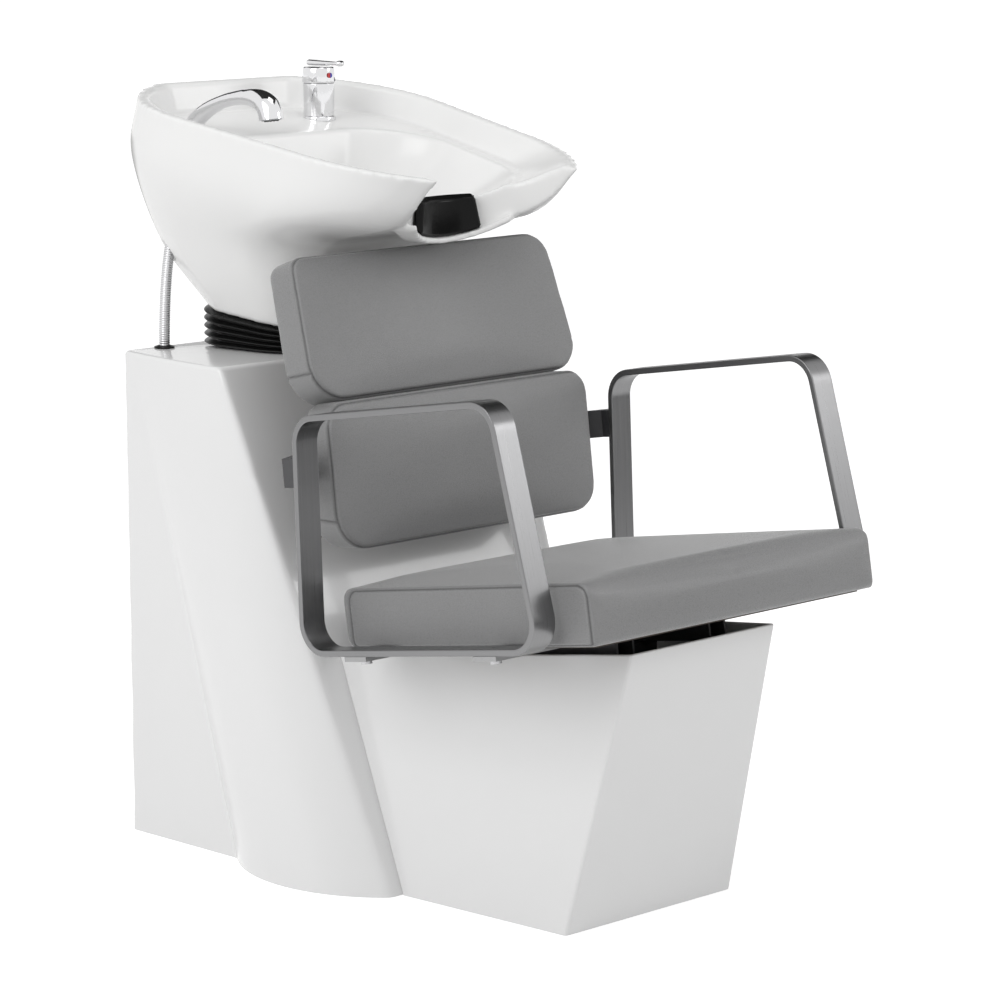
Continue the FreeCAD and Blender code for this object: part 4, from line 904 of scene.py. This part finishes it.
COLUMN_TOP = 0.651
COLUMN_FOOT_SECTION = ((0.242, 0.404), (0.227, 0.200), (0.264, 0.060), (0.196, -0.070))
COLUMN_TOP_SECTION = ((0.242, 0.404), (0.244, 0.384), (0.250, 0.292), (0.249, 0.196))
COLUMN_EASE = 0.0042
COLUMN_EDGE = 0.006
COLUMN_LEVELS = 30
EDGE_STEPS = 6
DOOR_HALF = 0.150
DOOR_FOOT, DOOR_HEAD = 0.090, 0.510
DOOR_STEPS = 10
WALL = 0.005


def eased_line(points, count, ease):
    """An open 2-D line, evenly spaced, its corners softened over a length and its ends left straight."""
    line = spaced(points, count)
    pitch = line_length(line) / (count - 1)
    pad = int(4 * ease / pitch) + 1
    ahead = line[0] - (line[1] - line[0]) * np.arange(pad, 0, -1)[:, None]
    after = line[-1] + (line[-1] - line[-2]) * np.arange(1, pad + 1)[:, None]
    whole = np.vstack([ahead, line, after])
    kernel = np.exp(-0.5 * (np.arange(-pad, pad + 1) * pitch / ease) ** 2)
    kernel /= kernel.sum()
    return np.stack([np.convolve(whole[:, axis], kernel, "valid") for axis in (0, 1)], axis=1)


def column_ring(share, inset):
    """One level of the column: the doorway's run, one side to the middle of the front, and back."""
    rear, turn, bulge, nose = (np.array(a) * (1 - share) + np.array(b) * share
                               for a, b in zip(COLUMN_FOOT_SECTION, COLUMN_TOP_SECTION))
    side = [(DOOR_HALF, rear[1]), tuple(rear)] + arc_through(turn, bulge, nose, 24)
    half = eased_line(side + [tuple(nose), (0, nose[1])], 130, COLUMN_EASE)
    door = [(-DOOR_HALF + 2 * DOOR_HALF * step / DOOR_STEPS, rear[1]) for step in range(DOOR_STEPS)]
    outline = np.vstack([door, half, half[-2:0:-1] * (-1, 1)])
    return drawn_in(outline, inset) if inset else outline


def column():
    """The column's moulding: one skin with a doorway, given its wall's thickness."""
    upright = COLUMN_TOP - COLUMN_EDGE
    levels = {round(upright * step / COLUMN_LEVELS, 4) for step in range(COLUMN_LEVELS + 1)}
    rings = [(level, 0) for level in sorted(levels | {DOOR_FOOT, DOOR_HEAD})]
    for step in range(1, EDGE_STEPS + 1):
        angle = math.pi / 2 * step / EDGE_STEPS
        rings.append((upright + COLUMN_EDGE * math.sin(angle), COLUMN_EDGE * (1 - math.cos(angle))))
    verts = [(x, y, level) for level, inset in rings for x, y in column_ring(level / COLUMN_TOP, inset)]
    count = len(verts) // len(rings)
    faces = []
    for row in range(len(rings) - 1):
        in_door = DOOR_FOOT - WELD < rings[row][0] and rings[row + 1][0] < DOOR_HEAD + WELD
        for step in range(count):
            if in_door and step < DOOR_STEPS:
                continue
            follower = (step + 1) % count
            low, high = row * count, (row + 1) * count
            faces.append((low + step, low + follower, high + follower, high + step))
    faces.append(tuple(range((len(rings) - 1) * count, len(rings) * count)))
    obj = skinned("column_moulding", verts, faces)
    wall = obj.modifiers.new("wall", "SOLIDIFY")
    wall.thickness = WALL
    wall.offset = -1
    settle(obj, CRISP_BAR)
    for vertex in obj.data.vertices:
        vertex.co.z = max(0, vertex.co.z)
    return obj


dressed(column(), SHELL, "base", "column_shell", slot="white_shell")

BASE_ROUND = 0.005
BASE_SHARE = 0.992
BASE_STEPS = 12
LIP_STEPS = 8
BASE_FOOT = [(-0.145, -0.334, 0), (0.145, -0.334, 0), (0.178, -0.0695, 0), (-0.178, -0.0695, 0)]
BASE_TOP = [(-0.125, -0.424, 0.364), (0.125, -0.424, 0.364), (0.178, 0.0498, 0.292), (-0.178, 0.0498, 0.292)]


def base_shell():
    """A flat-sided moulding, open above and below, its upper edge turned over."""
    rings = []

    def ring(share, inset, lift=0.0):
        foot, top = np.array(BASE_FOOT), np.array(BASE_TOP)
        corners = foot * (1 - share) + top * share
        outline = drawn_in(sided(corners[:, :2], BASE_ROUND), inset)
        front, rear = corners[0, 1], corners[2, 1]
        heights = corners[0, 2] + (corners[2, 2] - corners[0, 2]) * (outline[:, 1] - front) / (rear - front)
        return [(x, y, z + lift) for (x, y), z in zip(outline, heights)]

    for step in range(BASE_STEPS + 1):
        rings.append(ring(step / BASE_STEPS * BASE_SHARE, 0))
    for step in range(1, LIP_STEPS + 1):
        angle = math.pi * step / LIP_STEPS
        rings.append(ring(BASE_SHARE, WALL / 2 * (1 - math.cos(angle)), WALL / 2 * math.sin(angle)))
    for step in range(BASE_STEPS, -1, -1):
        rings.append(ring(step / BASE_STEPS * BASE_SHARE, WALL))
    rings.append(rings[0])
    return welded(loft("front_base_moulding", rings, False, CRISP_MOULD), CRISP_MOULD)


dressed(base_shell(), SHELL, "base", "front_base_shell", slot="white_shell")

# Basin: levels of one egg outline, cut by the bowl, the recess round the taps and the neck notch.
# A level holds its half width, its front and rear, its height at the front and its rise to the rear.
EGG_SHARES = ((0.487, 1.0), (0.86, 0.888), (1.0, 0.66), (0.9, 0.315), (0.79, 0.14), (0.53, 0.0))
RIM = (0.226, -0.079, 0.490, 0.899, 0.091)
FLARE = (0.228, 0.003, 0.494, 0.837, 0.075)
BELLY = (0.190, 0.157, 0.452, 0.793, -0.006)
FOOT = (0.142, 0.206, 0.394, 0.703, 0.0)
SKIRT = (0.142, 0.206, 0.394, 0.682, 0.026)
SKIRT_WALL = 0.012


def egg(half, front, rear, front_height, rise):
    flat, bend, wide, shoulder, tuck, tip = [(half * a, front + (rear - front) * b) for a, b in EGG_SHARES]
    side = arc_through(flat, bend, wide, 20)
    side += straight(wide, shoulder, 14) + arc_through(shoulder, tuck, tip, 20) + [tip]
    inner = [tuple(np.array(tip) * (1 - s / 8, 1)) for s in range(1, 8)]
    back = [(flat[0] * s / 8, flat[1]) for s in range(0, 8)]
    right = back + side + inner
    outline = right + [(0, tip[1])] + [(-x, y) for x, y in right[:0:-1]]
    return [(x, y, front_height + rise * (y - front) / (rear - front)) for x, y in outline]


def rim_height(back):
    return RIM[3] + RIM[4] * (back - RIM[1]) / (RIM[2] - RIM[1])


def under_rim(half, front, rear, depth):
    return (half, front, rear, rim_height(front) - depth, rim_height(rear) - rim_height(front))


def blended(levels, steps):
    """Levels with smooth ones between them, through a curve that passes each."""
    rows = np.array(levels, float)
    ends = np.vstack([2 * rows[0] - rows[1], rows, 2 * rows[-1] - rows[-2]])
    smooth_rows = []
    for at in range(len(rows) - 1):
        before, first, last, after = ends[at:at + 4]
        for step in range(steps):
            t = step / steps
            smooth_rows.append(0.5 * (2 * first + (last - before) * t
                                      + (2 * before - 5 * first + 4 * last - after) * t**2
                                      + (3 * first - before - 3 * last + after) * t**3))
    smooth_rows.append(rows[-1])
    return smooth_rows


NOTCH_RADIUS, NOTCH_BACK = 0.118, -0.062
NECK_FOOT, NECK_TALL = 0.812, 0.054
NECK_REACH, NECK_RISE = math.radians(30), 0.009
LIP_SECTION = ((0.104, -0.009), (0.131, -0.009), (0.131, 0.02), (0.1185, 0.02), (0.1185, -0.0005),
               (0.104, -0.0005))
LIP_REACH = 1.7 * NECK_REACH


def notch_spot(radius, height, angle, rise):
    """A point round the notch, lifted towards the notch's ends."""
    return (math.sin(angle) * radius, NOTCH_BACK + math.cos(angle) * radius,
            NECK_FOOT + height + rise * (angle / NECK_REACH) ** 2)


def notch_lip():
    """The ledge under the neck rest."""
    rings = [[notch_spot(*corner, angle, NECK_RISE) for corner in LIP_SECTION]
             for angle in np.linspace(-LIP_REACH, LIP_REACH, 53)]
    return loft("notch_lip", rings)


RIM_WALL = 0.014
HOSE_WAY = 0.0098
DECK_DEPTH = 0.038
INSIDE_RIM = (RIM[0] - RIM_WALL, RIM[1] + RIM_WALL, RIM[2] - RIM_WALL)
INSIDE_FOOT = (FOOT[0] - SKIRT_WALL, FOOT[1] + SKIRT_WALL, FOOT[2] - SKIRT_WALL)
OUTSIDE_LEVELS = blended([SKIRT, BELLY, FLARE, RIM], 10)
RECESS_LEVELS = (under_rim(0.200, 0.015, 0.470, DECK_DEPTH), under_rim(*INSIDE_RIM, 0),
                 under_rim(*INSIDE_RIM, -0.02))
BOWL_LEVELS = blended([(0.070, 0.196, 0.304, 0.782, 0), under_rim(0.150, 0.075, 0.322, 0.080),
                       under_rim(0.176, 0.015, 0.330, DECK_DEPTH - 0.002)], 8)
GLAZE_VOXEL = 0.0032
GLAZE_EASE = 8


def basin():
    outer, recess, bowl = (loft(name, [egg(*row) for row in levels]) for name, levels in (
        ("ceramic_basin", OUTSIDE_LEVELS), ("recess", RECESS_LEVELS), ("bowl", BOWL_LEVELS)))
    notch = turned("notch", [(NOTCH_RADIUS, 0.6), (NOTCH_RADIUS, 1.1)], (0, NOTCH_BACK, 0), 128)
    way = tube("hose_way", hose_line, [HOSE_WAY] * len(hose_line))
    hollow = loft("hollow", [egg(*INSIDE_FOOT, level, 0) for level in (COLUMN_TOP, FOOT[3])])
    carve(outer, recess, bowl, notch, way, hollow)
    carve(outer, notch_lip(), operation="UNION")
    remeshed(outer, GLAZE_VOXEL)
    eased(outer, GLAZE_EASE)
    return settle(outer)


dressed(basin(), CERAMIC, "basin", "basin", slot="glazed_ceramic")


# Neck rest: a moulded rubber pad on the notch's ledge
NECK_OUTER, NECK_INNER = NOTCH_RADIUS - 0.0002, NOTCH_RADIUS - 0.0135
NECK_SECTION = [(NECK_INNER, 0), (NECK_OUTER, 0), (NECK_OUTER, NECK_TALL), (NECK_INNER, NECK_TALL - 0.007)]
NECK_EDGES = (0.004, 0.002, 0.003, 0.006)
NECK_EASE, NECK_MOST = 0.006, 0.0045
NECK_LEAN = math.radians(5)
NECK_STEPS = 48


def neck_rest():
    outline = rounded(NECK_SECTION, NECK_EDGES, 6)
    rings = []
    for step in range(NECK_STEPS + 1):
        share = step / NECK_STEPS
        edge = min(share, 1 - share) * 2 * NECK_REACH * NOTCH_RADIUS
        inset = NECK_EASE - math.sqrt(max(0, NECK_EASE**2 - (NECK_EASE - min(edge, NECK_EASE)) ** 2))
        ring = []
        for radius, height in drawn_in(outline, min(inset, NECK_MOST)):
            angle = (NECK_REACH - NECK_LEAN * height / NECK_TALL) * (2 * share - 1)
            ring.append(notch_spot(radius, height, angle, NECK_RISE * (1 - height / NECK_TALL)))
        rings.append(ring)
    return loft("neck_rest_pad", rings, True, CRISP_ROUND)


dressed(neck_rest(), NECK_RUBBER, "basin", "neck_rest")


# Taps
def eased_turn(name, radii, levels, ease):
    """A round piece of the mixer with both edges eased."""
    quarter = [math.pi / 2 * step / 5 for step in range(6)]
    profile = [(radii[0] - ease * (1 - math.sin(angle)), levels[0] + ease * (1 - math.cos(angle)))
               for angle in quarter]
    profile += [(radii[1] - ease * (1 - math.cos(angle)), levels[1] - ease * (1 - math.sin(angle)))
                for angle in quarter]
    return turned(name, profile, TAP, 72, CRISP_ROUND)


ring_low, ring_high = (corner[2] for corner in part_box("mixer_base_ring"))
cap_low, cap_high = (corner[2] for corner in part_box("mixer_cap"))
for name, node, body, radii, levels, ease in (
        ("mixer_foot_ring", "mixer_base_ring", "basin", (0.023, 0.0222), (ring_low, ring_high), 0.0018),
        ("mixer_barrel", "mixer_body", "basin", (0.0205, 0.0215), (ring_high, cap_low - 0.0002), 0.0006),
        ("mixer_hood", "mixer_cap", "mixer_head", (0.0228, 0.0215), (cap_low, cap_high), 0.0028)):
    dressed(eased_turn(name, radii, levels, ease), CHROME, body, node)


LEVER_STEPS, LEVER_SIDES = 40, 24
LEVER_HEEL, LEVER_KNOB, KNOB_LONG = 0.06, 0.93, 0.05
LEVER_WIDE, WIDE_TAPER, KNOB_WIDE = 0.0098, 0.0045, 0.0008
LEVER_THICK, THICK_TAPER, KNOB_THICK = 0.0042, 0.0019, 0.0016
LEVER_LIFT, LEVER_BOW = 0.0045, 0.001


def mixer_lever():
    """A strap-shaped lever over the hood, thinner to its tip and ending in a small knob."""
    low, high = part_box("mixer_lever")
    heel, tip, middle = high[1], low[1], (low[0] + high[0]) / 2
    rings = []
    for step in range(LEVER_STEPS + 1):
        share = step / LEVER_STEPS
        along = heel + (tip - heel) * share
        end = math.sqrt(max(0.03, 1 - max(0, (LEVER_HEEL - share) / LEVER_HEEL) ** 2))
        knob = math.exp(-((share - LEVER_KNOB) / KNOB_LONG) ** 2)
        close = math.sqrt(max(0.02, 1 - max(0, (share - LEVER_KNOB) / (1 - LEVER_KNOB)) ** 2))
        wide = (LEVER_WIDE - WIDE_TAPER * share + KNOB_WIDE * knob) * end * close
        thick = (LEVER_THICK - THICK_TAPER * share + KNOB_THICK * knob) * end * close
        level = low[2] + LEVER_LIFT + LEVER_BOW * share**2
        ring = []
        for turn in range(LEVER_SIDES):
            angle = 2 * math.pi * turn / LEVER_SIDES
            cosine, sine = math.cos(angle), math.sin(angle)
            ring.append((middle + wide * math.copysign(abs(cosine) ** 0.6, cosine), along,
                         level + thick * math.copysign(abs(sine) ** 0.8, sine)))
        rings.append(ring)
    return loft("mixer_lever_strap", rings, True, CRISP_ROUND)


dressed(mixer_lever(), CHROME, "mixer_lever", "mixer_lever")

# Hand shower: a bowed handle with its head turned down over the bowl
SHOWER_ACROSS = -0.122
SHOWER_LINE = [(0.408, 0.915), (0.408, 0.931), (0.400, 0.943), (0.377, 0.9585), (0.346, 0.972),
               (0.314, 0.980), (0.284, 0.983), (0.256, 0.980), (0.241, 0.969), (0.239, 0.956)]
NOZZLE_RINGS = ((1, 0), (6, 0.0042), (12, 0.0088))
NOZZLE_DROP = 0.0022
SHOWER_RADII = [0.0088, 0.0105, 0.0115, 0.0105, 0.009, 0.009, 0.0104, 0.0135, 0.0158, 0.0162]


def hand_shower():
    line = spline_of([(SHOWER_ACROSS, back, up) for back, up in SHOWER_LINE], 12)
    run = np.linspace(0, len(SHOWER_RADII) - 1, len(line))
    radii = np.interp(run, np.arange(len(SHOWER_RADII)), SHOWER_RADII)
    return tube("hand_shower_handle", line, radii, 40, CRISP_ROUND)


dressed(hand_shower(), CHROME, "hand_shower", "hand_shower")


def spray_face():
    """The head's spray plate and its rings of nozzles."""
    tip, before = Vector((SHOWER_ACROSS, *SHOWER_LINE[-1])), Vector((SHOWER_ACROSS, *SHOWER_LINE[-2]))
    up, across = (before - tip).normalized(), Vector((1, 0, 0))
    out = up.cross(across).normalized()
    plate = tube("spray_plate", [tip + up * lift for lift in (0.003, 0, -0.0006, -0.001)],
                 [0.0135, 0.0135, 0.0132, 0.0122], 40, CRISP_ROUND)
    dressed(plate, DRAIN, "hand_shower", slot="drain_plastic")
    spots = []
    for count, radius in NOZZLE_RINGS:
        for step in range(count):
            angle = 2 * math.pi * step / count
            away = across * (radius * math.cos(angle)) + out * (radius * math.sin(angle))
            spots.append(tip - up * NOZZLE_DROP + away)
    turn = up.to_track_quat("Z", "Y").to_euler()
    nozzles = bolts_on("spray_nozzles", spots, Head_Radius=0.0011, Head_Height=0.0014, Socket_Radius=0.0005,
                       Shank_Radius=0.0009, Shank_Length=0.001, Turn=tuple(turn), Finish=RUBBER)
    dressed(nozzles, RUBBER, "hand_shower", slot="black_rubber")


spray_face()

# Hose end that comes up with the hand shower
TAIL_RADIUS = 0.0066
TAIL_STEPS, TAIL_PITCH = 70, 0.0015
tail_x, tail_y, tail_top = HOSE_ROUTE[0]
tail = tube("hand_shower_hose_end",
            [(tail_x, tail_y, tail_top - TAIL_PITCH * step) for step in range(TAIL_STEPS)],
            [TAIL_RADIUS - HOSE_RIB * (step % 2) for step in range(TAIL_STEPS)], 20)
dressed(tail, HOSE_METAL, "hand_shower", slot="hose_metal")


# Bellows between the column's top and the basin's foot
FOLDS = 5
FOLD_STEPS = 10
FOLD_DEPTH, FOLD_OUT = 0.011, 0.006
BELLOWS_GAP = 0.0005


def bellows():
    low, high = COLUMN_TOP + BELLOWS_GAP, SKIRT[3] - BELLOWS_GAP
    rings = []
    for step in range(FOLDS * FOLD_STEPS + 1):
        share = step / (FOLDS * FOLD_STEPS)
        draw = FOLD_DEPTH * (0.5 + 0.5 * math.cos(2 * math.pi * FOLDS * share)) - FOLD_OUT
        level = low + (high - low) * share
        rings.append(egg(FOOT[0] - draw, FOOT[1] + draw, FOOT[2] - draw, level, SKIRT[4] * share))
    return loft("bellows_folds", rings, False)


gaiter = bellows()
gaiter.data.materials.append(RUBBER)
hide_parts("bellows")
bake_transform(gaiter)

# Light and floor
world = bpy.data.worlds.new("studio")
scene.world = world
world.use_nodes = True
sky = world.node_tree


def seen_rays(tree, *rays):
    """1 where a ray of the named kinds meets a surface or the world, else 0."""
    paths = add(tree, "LightPath").outputs
    seen = paths[rays[0]]
    for ray in rays[1:]:
        seen = maths(tree, "MAXIMUM", seen, paths[ray])
    return seen


backdrop = seen_rays(sky, "Is Camera Ray", "Is Glossy Ray", "Is Transmission Ray")
filled(sky, sky.nodes["Background"], {"Color": (1, 1, 1, 1), "Strength": ranged(sky, backdrop, 0.66, 1.0)})


def lamp(name, place, target, wide, power):
    data = bpy.data.lights.new(name, "AREA")
    data.shape = "SQUARE"
    data.size = wide
    data.energy = power
    obj = linked(name, data)
    obj.location = place
    obj.rotation_euler = (Vector(target) - Vector(place)).to_track_quat("-Z", "Y").to_euler()


lamp("key_softbox", (-3.0, -0.2, 2.3), (0, 0, 0.5), 2.2, 41)
lamp("top_softbox", (0.3, -0.4, 3.2), (0, 0, 0.5), 1.2, 8)
lamp("front_softbox", (2.3, -2.6, 1.9), (0, 0, 0.6), 1.1, 15)

FLOOR_HALF = 30
floor = skinned("studio_floor", [(-FLOOR_HALF, -FLOOR_HALF, 0), (FLOOR_HALF, -FLOOR_HALF, 0),
                                 (FLOOR_HALF, FLOOR_HALF, 0), (-FLOOR_HALF, FLOOR_HALF, 0)], [(0, 1, 2, 3)])
floor_material, paper, floor_shader, _ = finish("floor_paper", Roughness=0.9)
glow = maths(paper, "MULTIPLY", seen_rays(paper, "Is Camera Ray", "Is Glossy Ray"), 0.55)
filled(paper, floor_shader, {"Base Color": (0.8, 0.8, 0.8, 1), "Emission Color": (1, 1, 1, 1),
                             "Emission Strength": glow})
floor.data.materials.append(floor_material)


# Dark flags out of the picture, for the metal to reflect
def flag(name, foot, across, height, cloth, shift=(0, 0)):
    """A dark cloth between two points of the floor plan, seen only in reflections; shift lays it over."""
    (x0, y0), (x1, y1) = foot, across
    low, high = height
    upper = [(x1 + shift[0], y1 + shift[1], high), (x0 + shift[0], y0 + shift[1], high)]
    obj = skinned(name, [(x0, y0, low), (x1, y1, low)] + upper, [(0, 1, 2, 3)])
    obj.data.materials.append(cloth)
    obj.visible_camera = False
    obj.visible_shadow = False
    obj.visible_diffuse = False


FLAG = cast("flag_cloth", (0.02, 0.02, 0.02), 0.9)
GREY_FLAG = cast("grey_flag_cloth", (0.12, 0.12, 0.12), 0.9)
flag("rear_flag", (0.6, 5.2), (5.2, 0.6), (0.1, 0.7), GREY_FLAG)
flag("ceiling_flag", (-1.6, 1.2), (1.2, -1.6), (3.3, 3.3), FLAG, (3.2, 3.2))
flag("upper_flag", (0.0, 5.2), (5.2, 0.0), (2.0, 3.6), FLAG)
flag("floor_flag", (1.0, -3.2), (3.2, -1.2), (0.0, 0.45), FLAG)

scene.view_settings.view_transform = "Standard"
